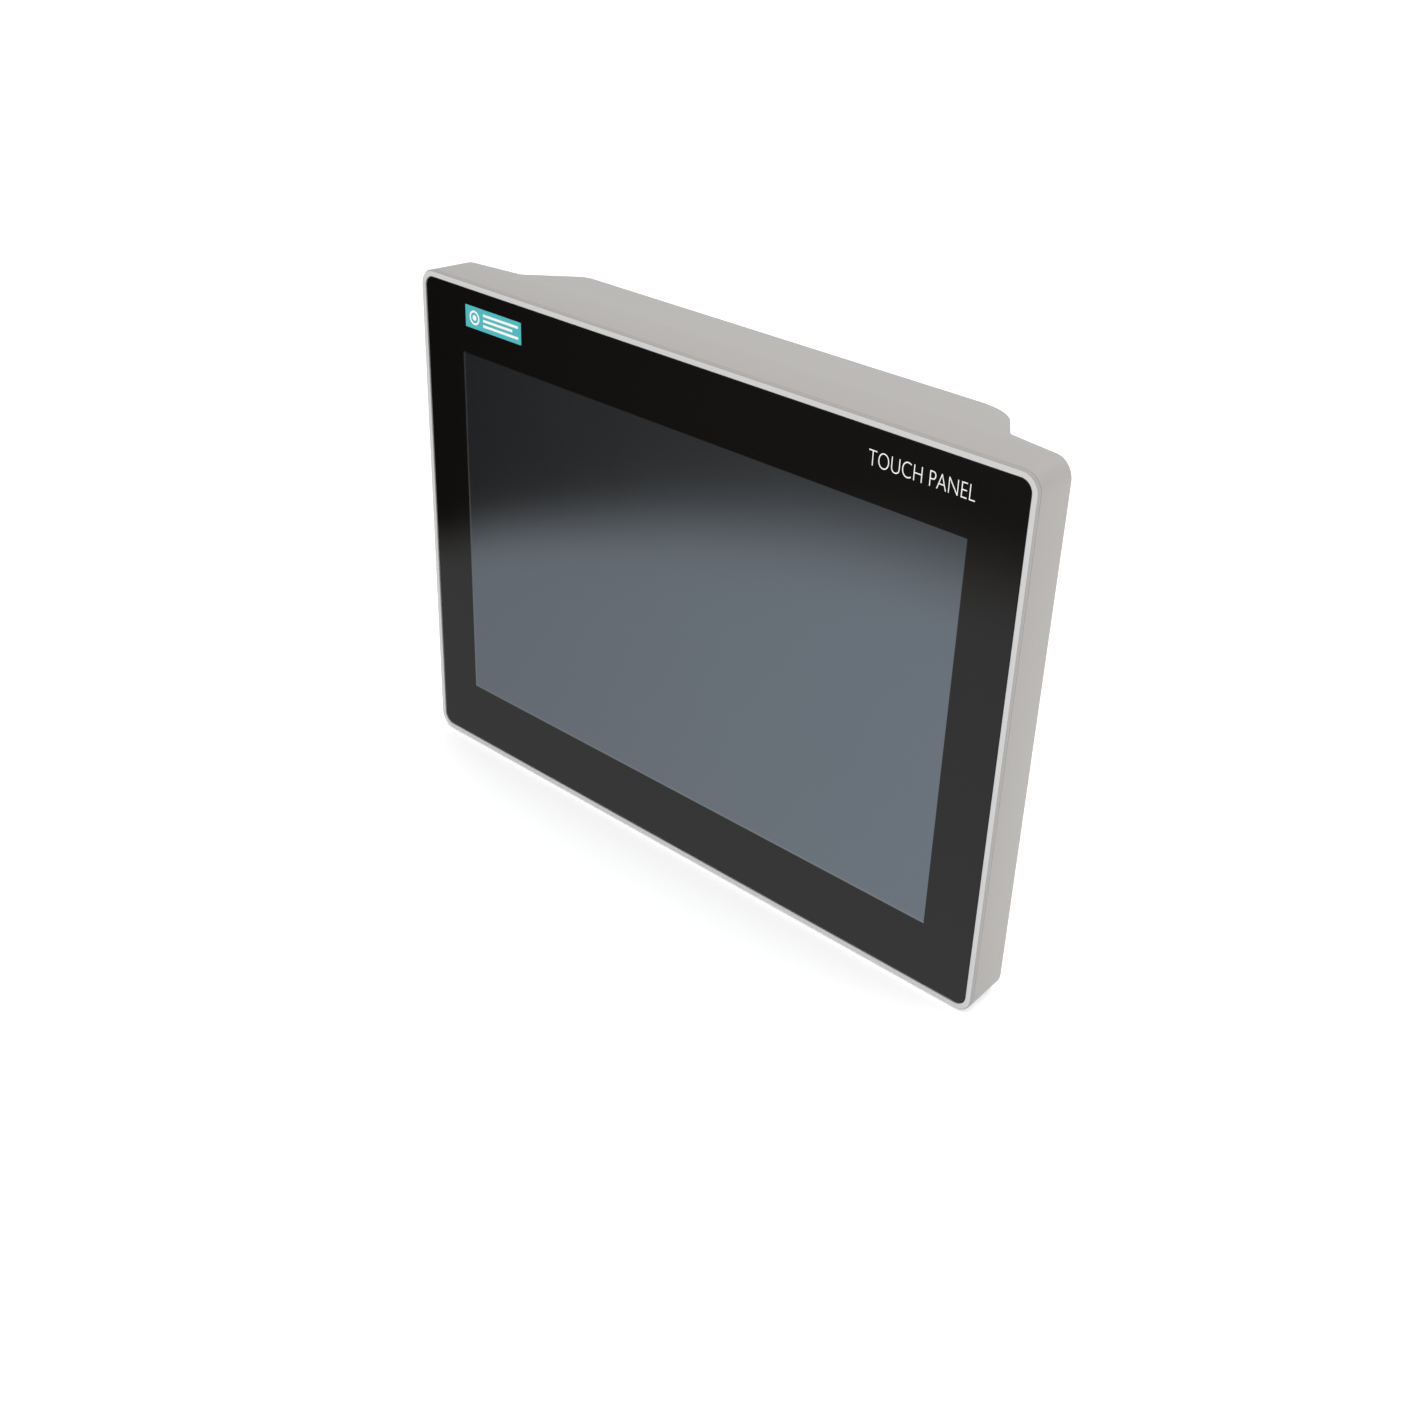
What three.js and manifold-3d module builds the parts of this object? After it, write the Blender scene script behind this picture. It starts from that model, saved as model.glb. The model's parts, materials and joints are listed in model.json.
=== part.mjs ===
// Industrial touch panel for a support arm or pedestal: an enclosed 12 inch wide screen in a drafted
// cast housing, with a connection compartment behind a rear cover and a flange underneath.
// Millimetres. X runs to the right as the operator sees it, Y runs from the front into the panel,
// Z is up from the lowest edge. Y is 0 at the front of the rim until the finished panel is centred.
import * as THREE from "three";
import { mergeVertices } from "three/addons/utils/BufferGeometryUtils.js";
import Module from "manifold-3d";

const wasm = await Module();
wasm.setup();

// ---------------------------------------------------------------- driving dimensions
const WIDTH = 312.5; // rim, side to side
const HEIGHT = 225.5; // rim, bottom to top
const CORNER = 7.65; // outer corner radius seen from the front
const WALL = 3; // cast wall
const GAP = 0.25; // clearance between neighbouring pieces
const DRAFT = 0.035; // how much each cast wall leans in for each millimetre of depth

const SCREEN_WIDTH = 261.1; // active area of the display
const SCREEN_HEIGHT = 163.2;

const RIM_WIDTH = 2.95; // bright rim round the glass
const RIM_DEPTH = 1.3;
const RIM_CHAMFER = 0.6;
const GLASS_INSET = 0.35; // glass front behind the rim's front
const GLASS_THICK = 2;
const GLASS_CORNER = 4.7;
const SENSOR_THICK = 0.7;
const LIP = 1.35; // front lip of the housing, which laps over the frame
const LEDGE_DEPTH = 2.9; // frame ledge that carries the glass
const SEAL_THICK = 1;

const MODULE_BORDER_X = 8.4; // display module outside its active area
const MODULE_BORDER_Z = 10.4;
const BEZEL_SHEET = 0.6;
const CELL_THICK = 1.5;
const GUIDE_THICK = 2;
const TRAY_THICK = 1.6;
const SHEET = 1.2; // brackets, chassis plate and connector plate

const SIDE_DEPTH = 21; // depth of the housing at its side edges
const SHOULDER_DEPTH = 27; // depth where the rear hump begins
const HUMP_DEPTH = 52.5;
const FOOT_INSET_LEFT = 33.25; // foot of the hump, in from the rim's side
const FOOT_INSET_RIGHT = 30.25;
const HUMP_INSET = 47.25; // side of the hump's rear face, in from the rim's side
const HUMP_DROP = 0.12; // how much the hump's top and bottom close in for each millimetre of depth
const HUMP_CORNER_LEFT = 6;
const HUMP_CORNER_RIGHT = 25;

const POST_INSET_X = 8.75; // housing screws in from the rim's side
const POST_INSET_Z = 24.75; // outer housing screws, in from the rim's top and bottom
const POST_RADIUS = 4.2;
const M4 = 1.9; // shaft radii
const M5 = 2.4;
const HOLE_PLAY = 0.3; // extra radius of a clearance hole

const BOARD_HALF = 104;
const BOARD_LOW = 84; // lower edge of the main board
const BOARD_DROP = 23.5; // upper edge of the main board below the top of the rim
const BOARD_THICK = 1.6;
const STANDOFF_LENGTH = 5.9;

const MOUTH_Z = 70; // where the connectors open downwards
const SHELF_Z = 75; // connector plate above the compartment
const COMPARTMENT_HALF = 96; // side ribs of the compartment
const CABLE_PASS = 5; // space for the flat cable behind the chassis plate

const COVER_HALF = 94;
const COVER_LOW = 9;
const COVER_HIGH = 77;
const COVER_THICK = 2.75;
const COVER_SEAT = 4; // depth of the seat that the cover lies in
const COVER_SCREW_INSET_X = 6;
const COVER_SCREW_INSET_Z = 4.2;
const COVER_TRAVEL_LIP = 5; // hatch edge inside the screw lines

const FLANGE_HALF = 60;
const FLANGE_FRONT = 14;
const FLANGE_BACK = 46;
const FLANGE_THICK = 6.4;
const CABLE_HOLE = 11; // radius of the cable entry

const FLAP_X = 77; // service flap on the rear face
const FLAP_Z = 132;
const FLAP_HALF = 14.7;
const FLAP_HEIGHT = 22;
const FLAP_THICK = 2.2;
const FLAP_POCKET = 5;
const FLAP_PIN = 1;

const OVER = 1; // how far a cutting tool, or a boss that is trimmed later, runs past the piece

// ---------------------------------------------------------------- worked out from them
const HALF_W = WIDTH / 2;
const HALF_H = HEIGHT / 2;
const MID_Z = HALF_H;
const GLASS_HALF_W = HALF_W - RIM_WIDTH;
const GLASS_HALF_H = HALF_H - RIM_WIDTH - 0.05;
const GLASS_BACK = GLASS_INSET + GLASS_THICK;
const LEDGE_FRONT = GLASS_BACK + SEAL_THICK + GAP;
const LEDGE_BACK = LEDGE_FRONT + LEDGE_DEPTH;
const LIP_INSET = LIP + GAP; // frame behind the rim, in from the rim's outline
const SEAT = LEDGE_BACK + SEAL_THICK + 2 * GAP; // shoulder in the housing that the main seal rests on
const MODULE_HALF_W = SCREEN_WIDTH / 2 + MODULE_BORDER_X;
const MODULE_HALF_H = SCREEN_HEIGHT / 2 + MODULE_BORDER_Z;
const MODULE_PLAY = 1.5;
const MODULE_FRONT = LEDGE_FRONT;
const CELL_FRONT = MODULE_FRONT + BEZEL_SHEET + GAP;
const GUIDE_FRONT = CELL_FRONT + CELL_THICK + GAP;
const TRAY_FRONT = GUIDE_FRONT + GUIDE_THICK + GAP;
const TRAY_BACK = TRAY_FRONT + TRAY_THICK;
const BRACKET_BACK = TRAY_BACK + GAP + SHEET;
const CHASSIS_FRONT = BRACKET_BACK + GAP;
const CHASSIS_BACK = CHASSIS_FRONT + SHEET;
const POST_X = HALF_W - POST_INSET_X;
const POST_SPREAD = HALF_H - POST_INSET_Z;
const HUMP_HALF = HALF_W - HUMP_INSET;
const BOARD_HIGH = HEIGHT - BOARD_DROP;
const BOARD_FRONT = CHASSIS_BACK + STANDOFF_LENGTH + 2 * GAP;
const BOARD_BACK = BOARD_FRONT + BOARD_THICK;
const PARTS_FRONT = BOARD_BACK + GAP; // what stands on the rear of the board starts here
const INNER_DEPTH = HUMP_DEPTH - WALL;
const HATCH_SEAT = HUMP_DEPTH - COVER_SEAT;
const HATCH_BACK = HATCH_SEAT - COVER_SEAT; // inner side of the thickened hatch frame
const FLOOR_Z = FLANGE_THICK + SEAL_THICK + 2 * GAP; // roof of the flange's pocket
const SHELF_TOP = SHELF_Z + SHEET;

// ---------------------------------------------------------------- making solids
// A closed geometry as a solid that can be joined and cut.
function solid(geometry) {
  const bare = geometry.index ? geometry.toNonIndexed() : geometry.clone();
  bare.deleteAttribute("normal");
  bare.deleteAttribute("uv");
  const merged = mergeVertices(bare, 1e-4);
  const mesh = new wasm.Mesh({
    numProp: 3,
    vertProperties: merged.attributes.position.array,
    triVerts: new Uint32Array(merged.index.array),
  });
  return new wasm.Manifold(mesh);
}

// A solid back as a geometry.
function geometryOf(body) {
  const mesh = body.getMesh();
  const position = new Float32Array(mesh.numVert * 3);
  for (let i = 0; i < mesh.numVert; i++) {
    const start = i * mesh.numProp;
    position.set(mesh.vertProperties.subarray(start, start + 3), i * 3);
  }
  const geometry = new THREE.BufferGeometry();
  geometry.setAttribute("position", new THREE.BufferAttribute(position, 3));
  geometry.setIndex(new THREE.BufferAttribute(mesh.triVerts, 1));
  return geometry;
}

const join = (bodies) => bodies.reduce((sum, body) => sum.add(body));
const cut = (body, tools) => tools.reduce((rest, tool) => rest.subtract(tool), body);

// A box from its two extreme values along each axis.
function block([x0, x1], [y0, y1], [z0, z1]) {
  const box = new THREE.BoxGeometry(x1 - x0, y1 - y0, z1 - z0);
  return solid(box.translate((x0 + x1) / 2, (y0 + y1) / 2, (z0 + z1) / 2));
}

// A round bar along Y, from y0 to y1.
function barY(x, z, radius, y0, y1, sides = 20) {
  const bar = new THREE.CylinderGeometry(radius, radius, y1 - y0, sides);
  return solid(bar.translate(x, (y0 + y1) / 2, z));
}

// A round bar along Z, from z0 to z1.
function barZ(x, y, radius, z0, z1, sides = 20) {
  const bar = new THREE.CylinderGeometry(radius, radius, z1 - z0, sides);
  return solid(bar.rotateX(Math.PI / 2).translate(x, y, (z0 + z1) / 2));
}

// A round bar along X, from x0 to x1.
function barX(y, z, radius, x0, x1, sides = 16) {
  const bar = new THREE.CylinderGeometry(radius, radius, x1 - x0, sides);
  return solid(bar.rotateZ(Math.PI / 2).translate((x0 + x1) / 2, y, z));
}

// The outline of a rectangle with round corners, about a centre.
function roundedOutline(halfW, halfH, radius, steps = 8) {
  const points = [];
  for (let corner = 0; corner < 4; corner++) {
    const sideX = corner === 0 || corner === 3 ? 1 : -1;
    const sideY = corner < 2 ? 1 : -1;
    for (let i = 0; i <= steps; i++) {
      const angle = (corner + i / steps) * (Math.PI / 2);
      const x = sideX * (halfW - radius) + radius * Math.cos(angle);
      const y = sideY * (halfH - radius) + radius * Math.sin(angle);
      points.push(new THREE.Vector2(x, y));
    }
  }
  return points;
}

// A plate with round corners that faces the front, from y0 to y1.
function plate(halfW, halfH, radius, y0, y1, x = 0, z = MID_Z) {
  const shape = new THREE.Shape(roundedOutline(halfW, halfH, radius));
  const body = new THREE.ExtrudeGeometry(shape, { depth: y1 - y0, bevelEnabled: false });
  return solid(body.rotateX(Math.PI / 2).translate(x, y1, z));
}

// A plate with round corners that lies flat, from z0 to z1.
function slab(halfW, halfD, radius, z0, z1, x = 0, y = 0) {
  const shape = new THREE.Shape(roundedOutline(halfW, halfD, radius));
  const body = new THREE.ExtrudeGeometry(shape, { depth: z1 - z0, bevelEnabled: false });
  return solid(body.translate(x, y, z0));
}

// A closed skin through rounded rectangles at rising Y: each section is [y, halfW, halfH, radius].
function loft(sections) {
  const rings = sections.map(([y, halfW, halfH, radius]) =>
    roundedOutline(halfW, halfH, radius).map((p) => new THREE.Vector3(p.x, y, MID_Z + p.y)),
  );
  const count = rings[0].length;
  const index = [];
  for (let ring = 0; ring + 1 < rings.length; ring++) {
    for (let i = 0; i < count; i++) {
      const a = ring * count + i;
      const b = ring * count + ((i + 1) % count);
      index.push(a, b, a + count, b, b + count, a + count);
    }
  }
  const last = (rings.length - 1) * count;
  for (let i = 1; i + 1 < count; i++) {
    index.push(0, i + 1, i);
    index.push(last, last + i, last + i + 1);
  }
  const geometry = new THREE.BufferGeometry().setFromPoints(rings.flat());
  geometry.setIndex(index);
  const body = solid(geometry);
  if (body.volume() > 0) return body;
  geometry.setIndex(index.reverse());
  return solid(geometry);
}

// An outline whose corners are rounded: each point is [x, y, radius].
function filleted(points, steps = 10) {
  const out = [];
  points.forEach(([x, y, radius], i) => {
    const here = new THREE.Vector2(x, y);
    if (!radius) {
      out.push(here);
      return;
    }
    const before = points.at(i - 1);
    const after = points[(i + 1) % points.length];
    const toBefore = new THREE.Vector2(before[0] - x, before[1] - y).normalize();
    const toAfter = new THREE.Vector2(after[0] - x, after[1] - y).normalize();
    const half = Math.acos(toBefore.dot(toAfter)) / 2;
    const run = radius / Math.tan(half);
    const centre = toBefore.clone().add(toAfter).setLength(radius / Math.sin(half)).add(here);
    const first = toBefore.multiplyScalar(run).add(here).sub(centre);
    const last = toAfter.multiplyScalar(run).add(here).sub(centre);
    const turn = Math.atan2(first.cross(last), first.dot(last));
    for (let step = 0; step <= steps; step++) {
      const arm = first.clone().rotateAround(new THREE.Vector2(), (turn * step) / steps);
      out.push(arm.add(centre));
    }
  });
  return out;
}

// A solid standing on an outline in X and Y, from z0 to z1.
function prism(outline, z0, z1) {
  const body = new THREE.ExtrudeGeometry(new THREE.Shape(outline), {
    depth: z1 - z0,
    bevelEnabled: false,
  });
  return solid(body.translate(0, 0, z0));
}

// A solid with an outline in Y and Z, from x0 to x1.
function profileX(points, x0, x1) {
  const shape = new THREE.Shape(points.map(([y, z]) => new THREE.Vector2(y, z)));
  const body = new THREE.ExtrudeGeometry(shape, { depth: x1 - x0, bevelEnabled: false });
  const turn = new THREE.Matrix4().makeBasis(
    new THREE.Vector3(0, 1, 0),
    new THREE.Vector3(0, 0, 1),
    new THREE.Vector3(1, 0, 0),
  );
  return solid(body.applyMatrix4(turn).translate(x0, 0, 0));
}

// ---------------------------------------------------------------- finishes
const finish = (color, roughness, metalness) =>
  new THREE.MeshStandardMaterial({ color, roughness, metalness });
const FINISH = {
  paint: finish(0xbab6b3, 0.6, 0),
  rim: finish(0xe2e2e2, 0.35, 0.6),
  blackGlass: finish(0x0b0b0c, 0.05, 0),
  screen: finish(0x23262b, 0.3, 0),
  rubber: finish(0x202224, 0.8, 0),
  steel: finish(0xb8bbbd, 0.35, 1),
  zinc: finish(0xaeb2b4, 0.4, 1),
  clear: finish(0xe8eef2, 0.1, 0),
  board: finish(0x1c5a37, 0.55, 0),
  chip: finish(0x26272a, 0.5, 0),
  aluminium: finish(0xb4b6b8, 0.4, 1),
  plastic: finish(0x2a2c2f, 0.55, 0),
  greenPlastic: finish(0x2f8a4d, 0.5, 0),
  brass: finish(0xc6a14a, 0.35, 1),
  ribbon: finish(0xc98a3a, 0.5, 0),
  label: finish(0xd9dadb, 0.45, 0),
};

const panel = new THREE.Group();

// Names a solid, gives it its finish and puts it in the panel.
function add(name, body, material, place = [0, 0, 0]) {
  const mesh = new THREE.Mesh(geometryOf(body), material);
  mesh.name = name;
  mesh.position.set(...place);
  panel.add(mesh);
  return mesh;
}

// ---------------------------------------------------------------- places of the fasteners
const postPlaces = [-1, 1].flatMap((side) =>
  [-1, 0, 1].map((row) => [side * POST_X, MID_Z + row * POST_SPREAD]),
);
const coverScrewPlaces = [COVER_LOW + COVER_SCREW_INSET_Z, COVER_HIGH - COVER_SCREW_INSET_Z].flatMap(
  (z) => [-1, 0, 1].map((side) => [side * (COVER_HALF - COVER_SCREW_INSET_X), z]),
);
const FLANGE_MID = (FLANGE_FRONT + FLANGE_BACK) / 2;
const FLANGE_SCREW_INSET_X = 9;
const FLANGE_SCREW_INSET_Y = 7;
const flangeScrewPlaces = [-1, 1].flatMap((side) => [
  [side * (FLANGE_HALF - FLANGE_SCREW_INSET_X), FLANGE_FRONT + FLANGE_SCREW_INSET_Y],
  [side * (FLANGE_HALF - FLANGE_SCREW_INSET_X), FLANGE_BACK - FLANGE_SCREW_INSET_Y],
]);

// A cap screw along Y with its head at the rear, as a solid about the origin: the head ends at 0.
function capScrew(radius, headRadius, headHeight, length) {
  const head = barY(0, 0, headRadius, -headHeight, 0, 24);
  const shaft = barY(0, 0, radius, -headHeight - length, -headHeight + 0.1, 16);
  const socket = new THREE.CylinderGeometry(radius * 0.75, radius * 0.75, headHeight, 6);
  const hex = solid(socket.translate(0, headHeight * 0.05, 0));
  return head.add(shaft).subtract(hex);
}

// ---------------------------------------------------------------- front frame and glass
const SPIGOT_W = HALF_W - LIP_INSET;
const SPIGOT_H = HALF_H - LIP_INSET;
const WINDOW_W = MODULE_HALF_W + MODULE_PLAY;
const WINDOW_H = MODULE_HALF_H + MODULE_PLAY;
const POST_BACK = CHASSIS_FRONT - GAP;
const THREAD_SKIN = 1.2; // metal left in front of the blind screw holes

function frontFrame() {
  const rim = loft([
    [0, HALF_W - RIM_CHAMFER, HALF_H - RIM_CHAMFER, CORNER - RIM_CHAMFER],
    [RIM_CHAMFER, HALF_W, HALF_H, CORNER],
    [RIM_DEPTH, HALF_W, HALF_H, CORNER],
  ]);
  const spigot = plate(SPIGOT_W, SPIGOT_H, CORNER - LIP_INSET, RIM_DEPTH - 0.2, LEDGE_BACK);
  const posts = postPlaces.map(([x, z]) => barY(x, z, POST_RADIUS, LEDGE_BACK - 0.5, POST_BACK));
  const pocket = plate(GLASS_HALF_W + GAP, GLASS_HALF_H + GAP, GLASS_CORNER + GAP, -1, LEDGE_FRONT);
  const window = plate(WINDOW_W, WINDOW_H, 3, LEDGE_FRONT - OVER, LEDGE_BACK + OVER);
  const threads = postPlaces.map(([x, z]) =>
    barY(x, z, M4 + HOLE_PLAY, LEDGE_FRONT + THREAD_SKIN, POST_BACK + OVER, 16),
  );
  return cut(join([rim, spigot, ...posts]), [pocket, window, ...threads]);
}
add("front_frame", frontFrame(), FINISH.rim);

add(
  "front_glass",
  plate(GLASS_HALF_W, GLASS_HALF_H, GLASS_CORNER, GLASS_INSET, GLASS_BACK),
  FINISH.blackGlass,
);

const RING_IN_W = WINDOW_W + 1.5; // inner edge of the glass seal
const RING_IN_H = WINDOW_H + 1.5;
const glassSeal = plate(
  GLASS_HALF_W - 0.5,
  GLASS_HALF_H - 0.5,
  GLASS_CORNER - 0.5,
  GLASS_BACK + GAP,
  GLASS_BACK + SEAL_THICK,
).subtract(plate(RING_IN_W, RING_IN_H, 3, GLASS_BACK - 1, LEDGE_FRONT + 1));
add("glass_seal", glassSeal, FINISH.rubber);

add(
  "touch_sensor",
  plate(RING_IN_W - 1, RING_IN_H - 1, 2, GLASS_BACK + GAP, GLASS_BACK + GAP + SENSOR_THICK),
  FINISH.clear,
);

const SEAL_BAND = 2;
const housingSeal = plate(SPIGOT_W, SPIGOT_H, CORNER - LIP_INSET, LEDGE_BACK + GAP, SEAT - GAP).subtract(
  plate(SPIGOT_W - SEAL_BAND, SPIGOT_H - SEAL_BAND, CORNER - LIP_INSET - SEAL_BAND, 0, SEAT + OVER),
);
add("housing_seal", housingSeal, FINISH.rubber);

// ---------------------------------------------------------------- display module
function displayBezel() {
  const shell = plate(MODULE_HALF_W, MODULE_HALF_H, 1.5, MODULE_FRONT, TRAY_FRONT + TRAY_THICK / 2);
  const hollow = plate(
    MODULE_HALF_W - BEZEL_SHEET,
    MODULE_HALF_H - BEZEL_SHEET,
    1,
    MODULE_FRONT + BEZEL_SHEET,
    TRAY_BACK + OVER,
  );
  const view = plate(SCREEN_WIDTH / 2 + 0.7, SCREEN_HEIGHT / 2 + 0.7, 0.5, 0, CELL_FRONT);
  return cut(shell, [hollow, view]);
}
add("lcd_bezel", displayBezel(), FINISH.zinc);

const LAYER_W = MODULE_HALF_W - BEZEL_SHEET - GAP;
const LAYER_H = MODULE_HALF_H - BEZEL_SHEET - GAP;
add("lcd_cell", plate(LAYER_W, LAYER_H, 0.8, CELL_FRONT, CELL_FRONT + CELL_THICK), FINISH.screen);
add("light_guide", plate(LAYER_W, LAYER_H, 0.8, GUIDE_FRONT, GUIDE_FRONT + GUIDE_THICK), FINISH.clear);
add("backlight_tray", plate(LAYER_W, LAYER_H, 0.8, TRAY_FRONT, TRAY_BACK), FINISH.zinc);

const BRACKET_HALF = 76;
const BRACKET_REACH = 10; // how far a bracket laps over the module
const BRACKET_FOOT = 10;

// A folded strip that stands on the frame's ledge and laps over the back of the display module.
function displayBracket(side) {
  const web = side * (WINDOW_H + 1);
  const tip = side * (MODULE_HALF_H - BRACKET_REACH);
  const foot = web + side * (SHEET + BRACKET_FOOT);
  const inner = web + side * SHEET;
  const front = LEDGE_BACK + GAP;
  const outline = [
    [BRACKET_BACK, MID_Z + tip],
    [BRACKET_BACK, MID_Z + inner],
    [front + SHEET, MID_Z + inner],
    [front + SHEET, MID_Z + foot],
    [front, MID_Z + foot],
    [front, MID_Z + web],
    [BRACKET_BACK - SHEET, MID_Z + web],
    [BRACKET_BACK - SHEET, MID_Z + tip],
  ];
  return profileX(outline, -BRACKET_HALF, BRACKET_HALF);
}
add("lcd_bracket_top", displayBracket(1), FINISH.steel);
add("lcd_bracket_bottom", displayBracket(-1), FINISH.steel);

// ---------------------------------------------------------------- chassis plate and main board
const CHASSIS_PLAY = 2.2; // beside the plate, to the housing's walls
const CHASSIS_LAND = 8; // plate beyond the outer housing screws
const CHASSIS_HALF_W = HALF_W - WALL - CHASSIS_PLAY;
const CHASSIS_HALF_H = POST_SPREAD + CHASSIS_LAND;
const RIBBON_ROOM = 2; // slot around the display cable, at each side
const RIBBON_SLOT = 4; // half height of that slot
const TOUCH_ROOM = [1.5, 2]; // slot around the touch cable, across and up
const RIBBON_HALF = 15;
const RIBBON_Z = MID_Z + 38; // display cable's slot
const TOUCH_X = [BRACKET_HALF + 3, BRACKET_HALF + 13];
const TOUCH_Z = MID_Z - MODULE_HALF_H - MODULE_PLAY / 2; // touch cable runs between module and ledge

function chassisPlate() {
  const holes = postPlaces.map(([x, z]) =>
    barY(x, z, M4 + HOLE_PLAY, CHASSIS_FRONT - OVER, CHASSIS_BACK + OVER, 16),
  );
  const ribbonSlot = block(
    [-RIBBON_HALF - RIBBON_ROOM, RIBBON_HALF + RIBBON_ROOM],
    [CHASSIS_FRONT - OVER, CHASSIS_BACK + OVER],
    [RIBBON_Z - RIBBON_SLOT, RIBBON_Z + RIBBON_SLOT],
  );
  const touchSlot = block(
    [TOUCH_X[0] - TOUCH_ROOM[0], TOUCH_X[1] + TOUCH_ROOM[0]],
    [CHASSIS_FRONT - OVER, CHASSIS_BACK + OVER],
    [TOUCH_Z - TOUCH_ROOM[1], TOUCH_Z + TOUCH_ROOM[1]],
  );
  const sheet = plate(CHASSIS_HALF_W, CHASSIS_HALF_H, 4, CHASSIS_FRONT, CHASSIS_BACK);
  return cut(sheet, [...holes, ribbonSlot, touchSlot]);
}
add("chassis_plate", chassisPlate(), FINISH.steel);

const STANDOFF_INSET = 6;
const STANDOFF_RADIUS = 3;
const M3 = 1.4; // tapped bore radius
const standoffBore = barY(0, 0, M3, -OVER, STANDOFF_LENGTH + OVER, 12);
const standoff = barY(0, 0, STANDOFF_RADIUS, 0, STANDOFF_LENGTH, 6).subtract(standoffBore);
[BOARD_LOW + STANDOFF_INSET, BOARD_HIGH - STANDOFF_INSET]
  .flatMap((z) => [-1, 1].map((side) => [side * (BOARD_HALF - STANDOFF_INSET), z]))
  .forEach(([x, z], i) => {
    add(`board_standoff_${i + 1}`, standoff, FINISH.brass, [x, CHASSIS_BACK + GAP, z]);
  });

const boardMid = (BOARD_LOW + BOARD_HIGH) / 2;
const boardHoles = [-1, 1].flatMap((side) =>
  [BOARD_LOW + STANDOFF_INSET, BOARD_HIGH - STANDOFF_INSET].map((z) =>
    barY(side * (BOARD_HALF - STANDOFF_INSET), z, 1.6, BOARD_FRONT - OVER, BOARD_BACK + OVER, 12),
  ),
);
const boardHalfH = (BOARD_HIGH - BOARD_LOW) / 2;
const boardPlate = plate(BOARD_HALF, boardHalfH, 3, BOARD_FRONT, BOARD_BACK, 0, boardMid);
add("main_board", cut(boardPlate, boardHoles), FINISH.board);

const CHIP = 17; // half side of the processor
const CHIP_THICK = 2.2;
const CHIP_X = 5;
const CHIP_Z = 160;
const chipBack = PARTS_FRONT + CHIP_THICK;
add(
  "processor",
  plate(CHIP, CHIP, 1, PARTS_FRONT, chipBack, CHIP_X, CHIP_Z),
  FINISH.chip,
);

// A block that carries the processor's heat to the hump's rear wall, milled out into ribs.
const SPREADER_HALF = 30;
const SPREADER_BASE = 6; // solid metal at both ends
const SPREADER_PITCH = 14;
const SPREADER_SLOT = 4; // half width of a slot between ribs
function heatSpreader() {
  const front = chipBack + GAP;
  const back = INNER_DEPTH - GAP;
  const body = plate(SPREADER_HALF, SPREADER_HALF, 1, front, back, CHIP_X, CHIP_Z);
  const slots = [-1.5, -0.5, 0.5, 1.5].map((step) => {
    const x = CHIP_X + step * SPREADER_PITCH;
    return block(
      [x - SPREADER_SLOT, x + SPREADER_SLOT],
      [front + SPREADER_BASE, back - SPREADER_BASE],
      [CHIP_Z - SPREADER_HALF - OVER, CHIP_Z + SPREADER_HALF + OVER],
    );
  });
  return cut(body, slots);
}
add("heat_spreader", heatSpreader(), FINISH.aluminium);

// ---------------------------------------------------------------- connectors
// For each kind of connector: its width, how far it stands off the board, its height, the size of its
// mouth and the mouth's depth.
const POWER = { width: 17, rise: 12, height: 18, mouth: [13.6, 8.6], depth: 10 };
const ETHERNET = { width: 16, rise: 13.5, height: 21, mouth: [11.8, 8.4], depth: 12 };
const USB = { width: 14.5, rise: 7.6, height: 18, mouth: [12.5, 5.4], depth: 11 };
const SERIAL = { width: 31, rise: 12.6, height: 16, mouth: [17, 8.4], depth: 6 };
const SOCKETS = {
  power_socket: { x: -77, ...POWER, skin: FINISH.greenPlastic },
  ethernet_port_1: { x: -53, ...ETHERNET, skin: FINISH.zinc },
  ethernet_port_2: { x: -33, ...ETHERNET, skin: FINISH.zinc },
  usb_port_1: { x: -11, ...USB, skin: FINISH.zinc },
  usb_port_2: { x: 9, ...USB, skin: FINISH.zinc },
  serial_port: { x: 40, ...SERIAL, skin: FINISH.zinc },
};

for (const [name, s] of Object.entries(SOCKETS)) {
  const back = PARTS_FRONT + s.rise;
  const middle = (PARTS_FRONT + back) / 2;
  const shell = block(
    [s.x - s.width / 2, s.x + s.width / 2],
    [PARTS_FRONT, back],
    [MOUTH_Z, MOUTH_Z + s.height],
  );
  const mouth = block(
    [s.x - s.mouth[0] / 2, s.x + s.mouth[0] / 2],
    [middle - s.mouth[1] / 2, middle + s.mouth[1] / 2],
    [MOUTH_Z - OVER, MOUTH_Z + s.depth],
  );
  add(name, shell.subtract(mouth), s.skin);
}

// The plug fills the power socket's mouth and ends in a block with the wire clamps.
const power = SOCKETS.power_socket;
const powerMid = PARTS_FRONT + power.rise / 2;
const PLUG_GRIP = 9; // length of the clamp block below the mouth
const PLUG_NECK = power.depth - 1;

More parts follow.
